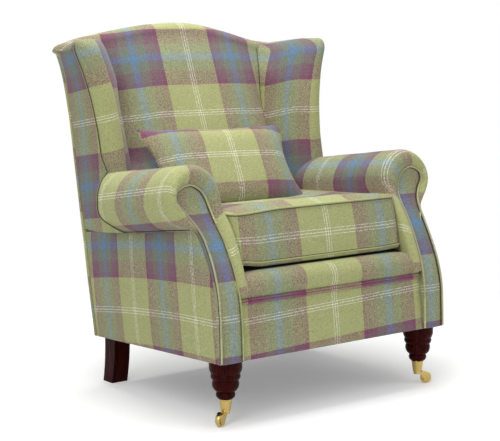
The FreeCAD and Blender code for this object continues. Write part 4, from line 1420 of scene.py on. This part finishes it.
# ------------------------------------------------------------------ inside back
@dataclass
class InsideBack:
    """Padding of the back with the roll over its crest."""

    crown: float = 13.0
    columns: int = 120
    white_z: float = BACK_WHITE_Z
    repeat: float = 346.0
    half_top: float = 415.0
    sink: dict[Side, float] = by_side(13.0, 7.0)     # how far the rows sink towards the wings
    narrow_from: float = 60.0  # place across from which the columns are narrower
    narrow: float = 1.36       # and by how much

    def half(self, z: float) -> float:
        """Half width: between the wings, and over them at the crest."""
        between = max(282.0 - 21.0 * smooth_step(z, 570.0, 640.0), LINE.crease(z) + 3.0)
        over = LINE.rear_x(z) - 10.0 + 14.0 * smooth_step(z, 916.0, 934.0)
        return between + (over - between) * smooth_step(z, 872.0, 926.0)

    def front(self, x: float, z: float, round_z: float) -> float:
        """Front of the padding, crowned in the middle and folded back at the wings."""
        share = min(abs(x) / LINE.crease(z), 1.0)
        lower = smooth_step(z, 560.0, 640.0)
        bulge = self.crown * (1 - share ** 2.5) * smooth_step(z, 560.0, 700.0)
        bulge *= 1 - 0.55 * smooth_step(z, 900.0, round_z)
        return LINE.inside(z) - bulge + (LINE.fold(z) - LINE.inside(z)) * share ** 6 * lower

    def cloth(self, x: float, back: float, run: float) -> Weave:
        """Place on the cloth.

        Args:
            x: place across, mm.
            back: how far behind the flat of the back the point lies, mm.
            run: length up the cloth from the white line, mm.

        Returns:
            Place in repeats.
        """
        across = x - back * (0.70 + 0.08 * min(max(x / 100.0, -1.0), 1.0))
        down = self.sink[Side.LEFT if x < 0 else Side.RIGHT]
        down *= smooth_step(abs(across), 110.0, 285.0)
        if across > self.narrow_from:
            across = self.narrow_from + (across - self.narrow_from) * self.narrow
        return across / ACROSS_REPEAT, (run + down) / self.repeat

    def build(self) -> bpy.types.Object:
        """Make the piece.

        Returns:
            The new object.
        """
        rows, weave = [], []
        low = LINE.deck(LINE.inside_d)
        slope = math.hypot(1, LINE.inside_lean)
        for t in eased(self.columns):
            reach = (2 * t - 1) * self.half_top
            top = LINE.crest(reach)
            round_z = top - LINE.crest_round(reach)
            tip = smooth_step(abs(reach), 385.0, self.half_top)
            ring, cloth = [], []
            for s in even(46):
                z = low + (round_z - low) * s
                x = math.copysign(min(abs(reach), self.half(z)), reach)
                d = self.front(x, z, round_z)
                run = (z - self.white_z) * (slope if z > LINE.inside_z else 1.0)
                cloth.append(self.cloth(x, d - LINE.inside(z), run))
                ring.append((x, d + ripple(x, d, z, 100.0, 2.2, 11.0), z))
            run = (round_z - self.white_z) * slope
            front, back = ring[-1][1], LINE.rear(round_z)
            front += (back - front) * 0.55 * tip
            middle, half = (front + back) / 2, (back - front) / 2
            lean = ring[-1][1] - LINE.inside(round_z)
            for a in even(16)[1:]:
                bend = math.radians(180 * a)
                d = middle - half * math.cos(bend)
                z = round_z + (top - round_z) * math.sin(bend)
                run += math.dist((d, z), (ring[-1][1], ring[-1][2]))
                ring.append((reach, d, z))
                cloth.append(self.cloth(reach, lean, run))
            under = top - LINE.crest_drop(reach)
            for z, inset in ((under + 3.0, 0.0), (under - 6.0, 6.0), (under - 8.0, 34.0)):
                d = LINE.rear(z, inset) + (1.5 if inset == 0.0 else 0.0)
                x = math.copysign(min(abs(reach), LINE.rear_x(z) - 3.0), reach)
                run += math.dist((d, z), (ring[-1][1], ring[-1][2]))
                ring.append((x, d, z))
                cloth.append(self.cloth(x, lean, run))
            for z in (900.0, 860.0, 780.0, 640.0, 560.0, low):
                z = min(z, under - 10.0)
                x = math.copysign(min(abs(reach), self.half(z)), reach)
                d = max(LINE.rear(z, 40.0), self.front(x, z, round_z) + 12.0)
                ring.append((x, d, z))
                cloth.append(cloth[-1])
            cloth.append(cloth[0])
            rows.append(ring)
            weave.append(cloth)
        return loft("inside_back_cover", rows, weave)


# ------------------------------------------------------------------ front of the seat
@dataclass
class SeatFront:
    """Flat border, lip roll over the front rail and the double cord between them."""

    foot: float = BORDER_FOOT
    lean: float = 20.0
    border_half: float = 317.0
    lip_half: float = 315.0
    cord_half: float = 314.0
    lip_cells: int = 34
    top: float = 322.0
    lip_depth: float = 62.0
    lip_rise: float = 57.0
    lip_start: float = 0.03    # where the lip starts on the cloth, in repeats
    lip_rate: float = 0.78     # how much of the cloth's repeat its length takes up
    white_z: float = 275.0     # height of the white line on the border, in the middle
    slant: float = 0.034       # and how it rises across
    repeat: float = 342.0
    thick: float = 12.0

    def line(self, z: float) -> float:
        """Front of the flat border."""
        return self.foot + self.lean * (z - LINE.base_front) / (self.top - LINE.base_front)

    def border(self) -> bpy.types.Object:
        """Make the flat border."""
        low = LINE.base(0.0)

        def spot(s: float, t: float) -> tuple[Point, Point, Weave]:
            """One place on the border."""
            z = low + (self.top - 5.0 - low) * s
            x = self.border_half * (2 * t - 1)
            rise = pillow(t, s, 2.6, 1.6) + ripple(x, 0, z, 120.0, 1.2, 1.0)
            return ((x, self.line(z) - rise, z), (x, self.line(z) + self.thick, z),
                    (x / ACROSS_REPEAT, (z - self.white_z - self.slant * x) / self.repeat))

        return board("front_border_cover", eased(30), eased(70), spot)

    def lip(self) -> bpy.types.Object:
        """Make the lip roll."""
        foot = self.line(325.0)
        sill = LINE.rail(foot) - 5.0
        top = LINE.rail(foot) + 2.0 + self.lip_rise
        nose = [(foot + ahead, sill + up * self.lip_rise)
                for ahead, up in ((1.0, 0.0), (-6.0, 0.22), (-8.5, 0.5), (-3.0, 0.82))]
        section = Curve((*nose, (foot + 11.0, top - 3.0), (foot + 30.0, top + 1.0),
                         (self.lip_depth, top + 1.5))).spread(self.lip_cells)
        rows, weave = [], []
        for t in eased(70):
            x = self.lip_half * (2 * t - 1)
            end = smooth_step(abs(2 * t - 1), 0.0, 1.0) ** 12
            ring, cloth, run = [], [], 0.0
            for i, (d, z) in enumerate(section):
                run += math.dist(section[i], section[i - 1]) if i else 0.0
                swell = 1.5 * math.sin(math.pi * i / self.lip_cells)
                swell += ripple(x, d, z, 80.0, 1.8, 4.0)
                up = swell * 0.5 * (i > 12) - 5.0 * end
                ring.append((x, d - swell * 0.7 + 4.0 * end, z + up))
                cloth.append((x / ACROSS_REPEAT,
                              self.lip_start + self.lip_rate * run / UP_REPEAT))
            ring.append((x, self.lip_depth, sill))
            cloth += [cloth[-1], cloth[0]]
            rows.append(ring)
            weave.append(cloth)
        return loft("lip_cover", rows, weave)

    def cords(self) -> Runs:
        """Lines of the two cords under the lip."""
        return [[(self.cord_half * (2 * t - 1), self.line(z) - 2.6, z) for t in even(60)]
                for z in (self.top - 3.2, self.top - 9.9)]

    def platform(self) -> bpy.types.Object:
        """Make the padded deck under the cushion, soft and low where it meets the lip."""
        low, high = (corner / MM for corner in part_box("seat_platform"))
        back = high.y + ORIGIN_BACK
        edge = self.lip_depth + 0.5
        sill = LINE.rail(edge) + 5.5
        rows, weave = [], []
        for t in eased(40):
            x = low.x + 0.5 + (high.x - low.x - 1.0) * t
            ring = [(x, edge, sill)]
            for share in even(24):
                d = edge + (back - 1.0 - edge) * share
                soft = 17.0 * (1 - smooth_step(d, 58.0, 172.0))
                ring.append((x, d, LINE.deck(d) - 0.5 - soft))
            ring.append((x, back - 1.0, LINE.rail(back) + 5.5))
            rows.append(ring)
            weave.append([(x / ACROSS_REPEAT, d / UP_REPEAT) for _, d, _ in ring] + [(0.0, 0.0)])
        return loft("platform_cover", rows, weave)


# ------------------------------------------------------------------ cushions
@dataclass
class SeatCushion:
    """Loose boxed cushion: crowned faces, a bulging border and a cord on each edge."""

    half: float = 283.0
    front: float = 58.0
    back: float = 515.0
    high: float = 136.0
    lean: float = 24.0
    corner: float = 24.0
    seam_low: float = 0.075
    seam_high: float = 0.985
    sag: float = 29.0
    crown: float = 14.0
    belly: float = 9.0
    white_x: float = 16.0
    cell: float = 12.0
    crown_in: float = 55.0     # how far in from the edge the crown is full
    sole: float = 0.6          # height of the sole over the deck
    clear: float = 0.3
    belly_rows: tuple = ((-1.5, 0.06), (1.6, 0.25), (3.2, 0.5), (2.6, 0.78), (0.0, 1.0))
    border_cells: int = 11
    border_bulge: float = 2.5
    pressure: float = 4.0
    reach: float = 9.0

    def tilt(self, x: float, d: float, z: float) -> Point:
        """Settle a point drawn level onto the pitch of the seat."""
        angle = -math.atan(LINE.pitch)
        pivot = (self.front, LINE.deck(self.front))
        dd, dz = d - pivot[0], z - pivot[1]
        return (x, pivot[0] + dd * math.cos(angle) - dz * math.sin(angle),
                pivot[1] + dd * math.sin(angle) + dz * math.cos(angle))

    def plan(self, a: float, b: float, grow: float, lean: float) -> tuple[float, float]:
        """Place in plan of a share of the rounded rectangle.

        Args:
            a: share across, -1 to 1.
            b: share from front to back, -1 to 1.
            grow: how far outside the cushion's side the line runs.
            lean: how far up the leaning front border it is, 0 to 1.

        Returns:
            x and d in mm.
        """
        front = self.front + self.lean * lean
        half_x, half_d = self.half + grow, (self.back - front) / 2 + grow
        radius = self.corner + grow
        x, d = a * half_x, b * half_d
        over_x, over_d = abs(x) - (half_x - radius), abs(d) - (half_d - radius)
        if over_x > 0 and over_d > 0:
            p, q = over_x / radius, over_d / radius
            x = math.copysign(half_x - radius + radius * p * math.sqrt(1 - q * q / 2), x)
            d = math.copysign(half_d - radius + radius * q * math.sqrt(1 - p * p / 2), d)
        return x, (self.back + front) / 2 + d

    def droop(self, x: float, d: float) -> float:
        """How far the lower edge sags at the front, less so at the left corner, mm."""
        corner = 0.75 if x < 0 else 0.25
        middle = 1 - corner * smooth_step(abs(x), 205.0, 275.0)
        return self.belly * middle * (1 - smooth_step(d, 72.0, 165.0))

    def under(self, x: float, d: float) -> float:
        """Height of the sole over the deck, which hangs with the lower edge, mm."""
        return self.sole - 1.15 * self.droop(x, d)

    def ear(self, x: float, d: float) -> float:
        """How far the left front corner of the upper edge hangs, mm."""
        return 6.5 * smooth_step(-x, 120.0, 262.0) * (1 - smooth_step(d, 66.0, 190.0))

    def seam(self, x: float, d: float, top: bool) -> float:
        """Height of the upper or lower edge over the deck, mm."""
        if top:
            return self.high * self.seam_high - self.ear(x, d)
        return self.high * self.seam_low - self.droop(x, d)

    def shares(self, length: float) -> list[float]:
        """Shares from -1 to 1, with cells close together at the rounded corners."""
        inner = 1 - self.corner / length
        count = max(int(2 * length * inner / self.cell), 8)
        edge = [-1 + (1 - inner) * i / 5 for i in range(5)]
        middle = [-inner + 2 * inner * i / count for i in range(count + 1)]
        return edge + middle + [-e for e in edge[::-1]]

    def grid(self) -> tuple[list[float], list[float]]:
        """Shares across and from front to back of the cushion's cells."""
        return self.shares(self.half), self.shares((self.back - self.front) / 2)

    def round_trip(self) -> list[tuple[float, float]]:
        """Shares of the points round the edge, from the left front corner."""
        xs, ds = self.grid()
        loop = [(x, -1.0) for x in xs] + [(1.0, d) for d in ds[1:]]
        return loop + [(x, 1.0) for x in xs[::-1][1:]] + [(-1.0, d) for d in ds[::-1][1:-1]]

    def edge_line(self, grow: float, top: bool, off: float) -> list[Point]:
        """Line along the upper or lower edge, closed.

        Args:
            grow: how far outside the cushion's side.
            top: the upper edge, or else the lower one.
            off: how far above the edge.

        Returns:
            Points in mm.
        """
        deck = LINE.deck(self.front)
        lean = self.seam_high if top else self.seam_low
        spots = [self.plan(a, b, grow, lean) for a, b in self.round_trip()]
        return [self.tilt(x, d, deck + self.seam(x, d, top) + off) for x, d in spots]

    def face(self, form: bmesh.types.BMesh, layer: bmesh.types.BMLayerItem,
             top: bool) -> list[list[bmesh.types.BMVert]]:
        """Add the upper face or the sole.

        Args:
            form: the shape.
            layer: its map of the cloth.
            top: the upper face, or else the sole.

        Returns:
            Its vertices in rows, from the front.
        """
        xs, ds = self.grid()
        deck = LINE.deck(self.front) + self.clear
        lean = self.seam_high if top else self.seam_low
        grid = []
        for b in ds:
            row = []
            for a in xs:
                x, d = self.plan(a, b, 0.0 if top else -6.0, lean)
                level = self.under(x, d)
                if top:      # crowned, and pressed down under the back cushion
                    near = min(self.half * (1 - abs(a)), 228.0 * (1 - abs(b)))
                    level = self.seam(x, d, True)
                    level += self.crown * (1 - (1 - min(near / self.crown_in, 1.0)) ** 2)
                    level -= (self.sag * smooth_step(d, 88.0, 255.0)
                              * (1 - max(abs(a), abs(b)) ** 10))
                row.append(form.verts.new(place(*self.tilt(x, d, deck + level))))
            grid.append(row)
        for spots in cells(len(ds) - 1, len(xs) - 1):
            flat = [self.plan(xs[i], ds[j], 0.0, lean) for j, i in spots]
            add_face(form, layer, [grid[j][i] for j, i in spots],
                     [((x - self.white_x) / ACROSS_REPEAT, (d - 72.0) / UP_REPEAT if top
                       else 0.06 + (d - self.front) / UP_REPEAT) for x, d in flat])
        return grid

    @staticmethod
    def rim(grid: list[list[bmesh.types.BMVert]]) -> list[bmesh.types.BMVert]:
        """Edge of a face as a closed loop of vertices, from the left front corner."""
        loop = grid[0] + [row[-1] for row in grid[1:]]
        return loop + grid[-1][::-1][1:] + [row[0] for row in grid[-2:0:-1]]

    def rings(self, form: bmesh.types.BMesh, sole: list[bmesh.types.BMVert],
              high: list[bmesh.types.BMVert]) -> list[list[bmesh.types.BMVert]]:
        """Add the points of the sides.

        Args:
            form: the shape.
            sole: edge of the sole.
            high: edge of the upper face.

        Returns:
            Rings from the sole, over the belly under the lower cord, up to the upper edge.
        """
        deck = LINE.deck(self.front) + self.clear
        rows = [sole]
        for grow, up in self.belly_rows:
            row = []
            for a, b in self.round_trip():
                x, d = self.plan(a, b, grow, self.seam_low)
                base = self.under(x, d)
                level = base + (self.seam(x, d, False) - base) * up
                row.append(form.verts.new(place(*self.tilt(x, d, deck + level))))
            rows.append(row)
        low = rows[-1]
        middle = place(0, 290.0, 0).y
        for t in even(self.border_cells)[1:-1]:
            row = []
            for one, two in zip(low, high):
                out = Vector((one.co.x, one.co.y - middle, 0)).normalized()
                bulge = out * self.border_bulge * MM * math.sin(math.pi * t)
                row.append(form.verts.new(one.co.lerp(two.co, t) + bulge))
            rows.append(row)
        return rows + [high]

    def build(self) -> bpy.types.Object:
        """Make the cushion and fill it.

        Returns:
            The new object.
        """
        form, layer = start_form()
        top, sole = self.face(form, layer, True), self.face(form, layer, False)
        rows = self.rings(form, self.rim(sole), self.rim(top))
        high, belly, deep = rows[-1], len(self.belly_rows), len(sole)
        count = len(high)
        spans = [0.0]
        for one, two in zip(high, high[1:] + high[:1]):
            spans.append(spans[-1] + (two.co - one.co).length / MM)

        def border_cloth(row: int, run: float) -> Weave:
            """Place on the cloth of the border, whose first rows are the belly."""
            up = row - belly
            up *= 0.895 / self.border_cells if up >= 0 else 0.02
            return ((run - self.half - self.white_x) / ACROSS_REPEAT,
                    (up - 0.40) * self.high / UP_REPEAT)

        for spots in cells(len(rows) - 1, count):
            back = spans[-1] if spots[0][1] > count - deep else 0.0
            add_face(form, layer, [rows[r][k % count] for r, k in spots],
                     [border_cloth(r, spans[k] - back) for r, k in spots])
        form.verts.index_update()
        held = {vert.index for row in rows[:belly + 1] + rows[-1:] + sole for vert in row}
        bmesh.ops.recalc_face_normals(form, faces=form.faces)
        piece = new_object("seat_cushion_cover", form)
        puff(piece, sorted(held), self.pressure, self.reach)
        return piece

    def cords(self) -> Runs:
        """Lines of the two cords."""
        return [self.edge_line(2.0, top, 0.3) for top in (False, True)]

    def threads(self) -> Runs:
        """Lines beside the cords, on the border, where thin dark lines are painted as the seams'
        shade.
        """
        return [self.edge_line(0.9, top, off) for top, off in ((False, 3.6), (True, -3.2))]


@dataclass
class BackCushion:
    """Small loose cushion with knife edges, pinched corners and soft filling."""

    half_w: float = 254.0
    half_h: float = 141.0
    half_t: float = 50.0
    lean: float = 31.0
    middle_d: float = 470.0
    middle_z: float = 604.0
    shift: float = -21.0
    roll: float = 0.018
    skew: float = 0.13
    white_x: float = 16.0
    white_y: float = 24.0
    repeat_share: float = 0.98
    across_cells: int = 52
    up_cells: int = 28
    rest: float = 98.5         # height of the seat's top under it, over the deck's front
    settle: float = 6.0        # depth over which its lower edge flattens
    pressure: float = 4.0
    reach: float = 14.0
    stiffness: float = 8.0

    def set_down(self, x: float, out: float, up: float) -> Point:
        """Lean a point drawn upright against the back.

        Args:
            x: across.
            out: towards the sitter.
            up: along the cushion's height.

        Returns:
            Point in mm.
        """
        angle = math.radians(self.lean)
        return (x + self.shift - 0.035 * up,
                self.middle_d + up * math.sin(angle) - out * math.cos(angle),
                self.middle_z + up * math.cos(angle) + out * math.sin(angle) - self.roll * x)

    def build(self) -> bpy.types.Object:
        """Make the cushion and fill it.

        Returns:
            The new object.
        """
        form, layer = start_form()
        nx, nz = self.across_cells, self.up_cells
        grids = []
        rim_verts: dict[tuple[int, int], bmesh.types.BMVert] = {}
        for face in (1, -1):
            grid = []
            for j in range(nz + 1):
                row = []
                for i in range(nx + 1):
                    a, b = 2 * i / nx - 1, 2 * j / nz - 1
                    edge = i in (0, nx) or j in (0, nz)
                    if edge and (i, j) in rim_verts:
                        row.append(rim_verts[i, j])
                        continue
                    # sides draw in between the corners
                    x = a * (self.half_w - 15.0 * (1 - b * b) * abs(a) ** 3)
                    up = b * (self.half_h - 11.0 * (1 - a * a) * abs(b) ** 3)
                    out = face * self.half_t * ((1 - a ** 4) * (1 - b ** 4)) ** 0.62
                    vert = form.verts.new(place(*self.set_down(x, out, up)))
                    if edge:
                        rim_verts[i, j] = vert
                    row.append(vert)
                grid.append(row)
            grids.append(grid)
        wide, high = ACROSS_REPEAT * self.repeat_share, UP_REPEAT * self.repeat_share
        for grid in grids:
            for spots in cells(nz, nx):
                flat = [((2 * i / nx - 1) * self.half_w, (2 * j / nz - 1) * self.half_h)
                        for j, i in spots]
                add_face(form, layer, [grid[j][i] for j, i in spots],
                         [((x - self.white_x - self.skew * up) / wide,
                           (up - self.white_y) / high) for x, up in flat])
        bmesh.ops.recalc_face_normals(form, faces=form.faces)
        piece = new_object("back_cushion_cover", form)
        puff(piece, [], self.pressure, self.reach, self.stiffness)
        front = SeatCushion().front
        seat = place(0, front, LINE.deck(front) + self.rest)
        settle = self.settle * MM
        for vertex in piece.data.vertices:      # flat where it rests on the seat
            level = seat.z - LINE.pitch * (vertex.co.y - seat.y) + settle
            if vertex.co.z < level:
                over = (level - vertex.co.z) / (2 * settle)
                vertex.co.z = level - settle * math.tanh(2 * over)
        return piece


# ------------------------------------------------------------------ studio
@dataclass(frozen=True)
class Studio:
    """Pale floor, soft lamps and the camera."""

    eye: Point = (-2.41306, -3.11667, 1.00336)
    aim: Point = (0.014, 0.02142, 0.454)
    lens: float = 101.378
    floor_near: float = 0.75
    floor_far: float = 1.7
    floor_lift: float = 0.23
    room_light: float = 0.34
    # name, place and side of the square in metres, power in watts
    lamps: tuple = (("key", (-2.3, -1.5, 2.6), 2.2, 50.0), ("fill", (1.9, -2.9, 1.7), 2.4, 20.0),
                    ("top", (0.0, 0.25, 3.0), 1.8, 70.0))
    lamp_aim: Point = (0.0, 0.0, 0.45)

    def aimed(self, data: bpy.types.ID, place_at: Point, aim: Point) -> bpy.types.Object:
        """Put a camera or a lamp at a place, turned towards another."""
        item = bpy.data.objects.new(data.name, data)
        item.location = place_at
        item.rotation_euler = (Vector(aim) - Vector(place_at)).to_track_quat("-Z", "Y").to_euler()
        bpy.context.scene.collection.objects.link(item)
        return item

    def camera(self) -> None:
        """Make the camera."""
        data = bpy.data.cameras.new("camera")
        data.lens = self.lens
        data.sensor_width = 36.0
        data.clip_end = 100.0
        bpy.context.scene.camera = self.aimed(data, self.eye, self.aim)

    def lamp(self, name: str, place_at: Point, size: float, power: float) -> None:
        """Hang one square soft lamp that faces the chair.

        Args:
            name: name of the lamp.
            place_at: where it hangs, metres.
            size: side of the square, metres.
            power: watts.
        """
        data = bpy.data.lights.new(name, "AREA")
        data.size = size
        data.energy = power
        self.aimed(data, place_at, self.lamp_aim)

    def floor(self) -> None:
        """Lay the floor, which looks white and keeps the chair's shadow."""
        form = bmesh.new()
        bmesh.ops.create_grid(form, x_segments=1, y_segments=1, size=30.0)
        floor = new_object("floor", form)
        material, tree, shader = start_material("pale_floor")
        feed(tree, shader, {"Base Color": linear("#f4f4f4"), "Roughness": 0.9,
                            "Specular IOR Level": 0.0})
        # where it is seen, the floor lifts towards white away from the chair
        seen = seen_rays(tree)
        spot = add_node(tree, "ShaderNodeTexCoord").outputs["Object"]
        reach = add_node(tree, "ShaderNodeVectorMath", {"operation": "LENGTH"}, {0: spot})
        far = add_node(tree, "ShaderNodeMapRange", {"interpolation_type": "SMOOTHSTEP"},
                       {"Value": reach.outputs["Value"], "From Min": self.floor_near,
                        "From Max": self.floor_far, "To Min": 0.0, "To Max": 1.0})
        white = add_node(tree, "ShaderNodeEmission", None, {"Color": linear(WHITE)})
        lift = add_node(tree, "ShaderNodeEmission", None,
                        {"Color": linear(WHITE),
                         "Strength": reckon(tree, "MULTIPLY", seen, self.floor_lift)})
        lit = add_node(tree, "ShaderNodeAddShader", None,
                       {0: shader.outputs[0], 1: lift.outputs[0]})
        mix = add_node(tree, "ShaderNodeMixShader", None,
                       {0: reckon(tree, "MULTIPLY", far.outputs[0], seen), 1: lit.outputs[0],
                        2: white.outputs[0]})
        tree.links.new(mix.outputs[0], tree.nodes["Material Output"].inputs[0])
        floor.data.materials.append(material)

    def world(self) -> None:
        """Light the room evenly; where it is seen it is white."""
        world = bpy.data.worlds.new("studio")
        bpy.context.scene.world = world
        world.use_nodes = True
        tree = world.node_tree
        tree.nodes.clear()
        room, white = [add_node(tree, "ShaderNodeBackground", None,
                                {"Color": linear(WHITE), "Strength": level}).outputs[0]
                       for level in (self.room_light, 1.0)]
        mix = add_node(tree, "ShaderNodeMixShader", None, {0: seen_rays(tree), 1: room, 2: white})
        add_node(tree, "ShaderNodeOutputWorld", None, {0: mix.outputs[0]})

    def build(self) -> None:
        """Set up everything."""
        bpy.context.scene.view_settings.view_transform = "Standard"
        self.camera()
        self.floor()
        self.world()
        for lamp in self.lamps:
            self.lamp(*lamp)


# ------------------------------------------------------------------ the whole chair
@dataclass
class Chair:
    """The whole chair, dressed over its frame."""

    finish: Finishes = field(default_factory=Finishes)
    cord: CordMaker = field(default_factory=CordMaker)

    def metalwork_and_timber(self) -> None:
        """Give the hard parts, which keep their own shape, their finishes."""
        groups = {
            "mahogany": ("front_leg", "back_leg"),
            "brass": ("castor_cup", "castor_horn", "castor_axle", "castor_wheel"),
            "beech": ("front_rail", "back_rail", "side_rail", "corner_blocks", "front_post",
                      "arm_rail", "back_post", "back_tacking_rail", "crest_rail", "wing_rail"),
            "webbing": ("seat_webbing", "back_webbing"),
            "dust_cover": ("dust_cover",),
            "steel": ("leg_bolts", "castor_screws"),
        }
        for finish, stems in groups.items():
            for name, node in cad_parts.items():
                if name.startswith(stems):
                    for slot in node.material_slots:
                        slot.material = getattr(self.finish, finish)

    def cover(self, piece: bpy.types.Object, node: str, body: Body = Body.CHAIR,
              finish: bpy.types.Material | None = None) -> None:
        """Dress a padded cover, which takes the place of one soft solid."""
        dress(piece, finish or self.finish.tartan, body, [node])

    def sew(self, name: str, runs: Runs, finish: bpy.types.Material, radius: float,
            start: Weave = (0.0, 0.0), rate: Weave = (0.0, 0.0), node: str | None = None,
            body: Body = Body.CHAIR) -> None:
        """Make one piece of cord, or of thin dark line painted as seam shade, and dress it.

        Args:
            name: name of the piece.
            runs: points of each run in mm; those on the seat cushion go all round it.
            finish: its material.
            radius: radius in metres.
            start: place on the cloth where a run starts, in repeats.
            rate: change of that place per metre.
            node: the piping it takes the place of, if any.
            body: the body it moves with.
        """
        cord = self.cord.make(name, runs, finish, start, rate, radius, body is Body.SEAT_CUSHION)
        dress(cord, finish, body, [node] if node else [])

    def one_side(self, side: Side) -> None:
        """Make and dress the arm, the wing and their panels of one side."""
        finish, tag = self.finish, side.tag
        facing, panels, wing = ArmFacing(), OutsidePanels(), Wing()
        arm = RolledArm(facing)
        self.cover(facing.build(side), f"arm_facing_{tag}")
        self.cover(arm.build(side), f"arm_roll_{tag}")
        self.cover(panels.arm_panel(side), f"outside_arm_{tag}")
        self.cover(panels.wing_panel(side), f"outside_wing_{tag}")
        self.cover(wing.build(side), f"wing_{tag}")
        # low on its inner edge the left facing's cord is sunk and takes the tartan's tint
        sunk = 0.36 if side is Side.LEFT else 0.0
        self.sew(f"facing_cord_{tag}", [facing.seam(side, sunk, 1.0)], finish.cord,
                 radius=0.0027, start=(0.1, 0.0), rate=(1.8, 1.3), node=f"facing_piping_{tag}")
        if sunk:
            self.sew(f"facing_inner_cord_{tag}", [facing.seam(side, 0.0, sunk, 1.4)],
                     finish.edge_cord, radius=0.0021, start=(0.1, 0.0), rate=(0.5, 0.4))
        self.sew(f"wing_cord_{tag}", [wing.seam(side) + arm.tail_line(side, 1.6)],
                 finish.edge_cord, radius=0.0018, start=(0.3, 0.6), rate=(0.3, 2.6),
                 node=f"wing_piping_{tag}")
        # thin dark lines beside the facing's cord, along the wing's seam, under the arm roll and in
        # the wing's crease: painted seam shade
        seams = [facing.seam(side, sunk, 1.0, 2.0, -3.5), facing.seam(side, 0.62, 1.0, 4.6, 1.2),
                 wing.seam(side, 1.6, 2.6) + arm.tail_line(side, 2.0, 2.8),
                 panels.under(side), wing.crease(side)]
        self.sew(f"seam_shade_line_{tag}", seams, finish.thread, radius=0.0010)

    def build(self) -> None:
        """Make and dress every piece."""
        finish, seat_body = self.finish, Body.SEAT_CUSHION
        front, seat = SeatFront(), SeatCushion()
        for side in Side:
            self.one_side(side)
        self.cover(OutsidePanels().back_panel(), "outside_back")
        self.cover(InsideBack().build(), "inside_back")
        self.cover(front.border(), "front_border")
        self.cover(front.lip(), "front_lip")
        # the platform's black cloth is painted shade for the gap under the cushion's front
        self.cover(front.platform(), "seat_platform", finish=finish.platform)
        self.sew("lip_cords", front.cords(), finish.lip_cord, radius=0.0032,
                 start=(-front.cord_half / ACROSS_REPEAT, 0.26),
                 rate=(1 / (MM * ACROSS_REPEAT), 0.0), node="lip_piping")
        self.cover(seat.build(), "seat_cushion", seat_body)
        self.sew("cushion_cords", seat.cords(), finish.edge_cord, radius=0.0026,
                 start=(0.08, 0.1), rate=(0.35, 0.05), node="seat_cushion_piping", body=seat_body)
        # thin dark lines beside the cushion's cords: painted seam shade
        self.sew("cushion_seam_shade_lines", seat.threads(), finish.thread, radius=0.0009, body=seat_body)
        self.cover(BackCushion().build(), "lumbar_cushion", Body.BACK_CUSHION)
        self.metalwork_and_timber()


def main() -> None:
    """Build the chair and its studio."""
    logging.basicConfig(level=logging.INFO, format="%(name)s %(message)s")
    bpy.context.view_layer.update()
    Studio().build()
    Chair().build()
    LOG.info("chair ready")


if __name__ == "__main__":
    main()
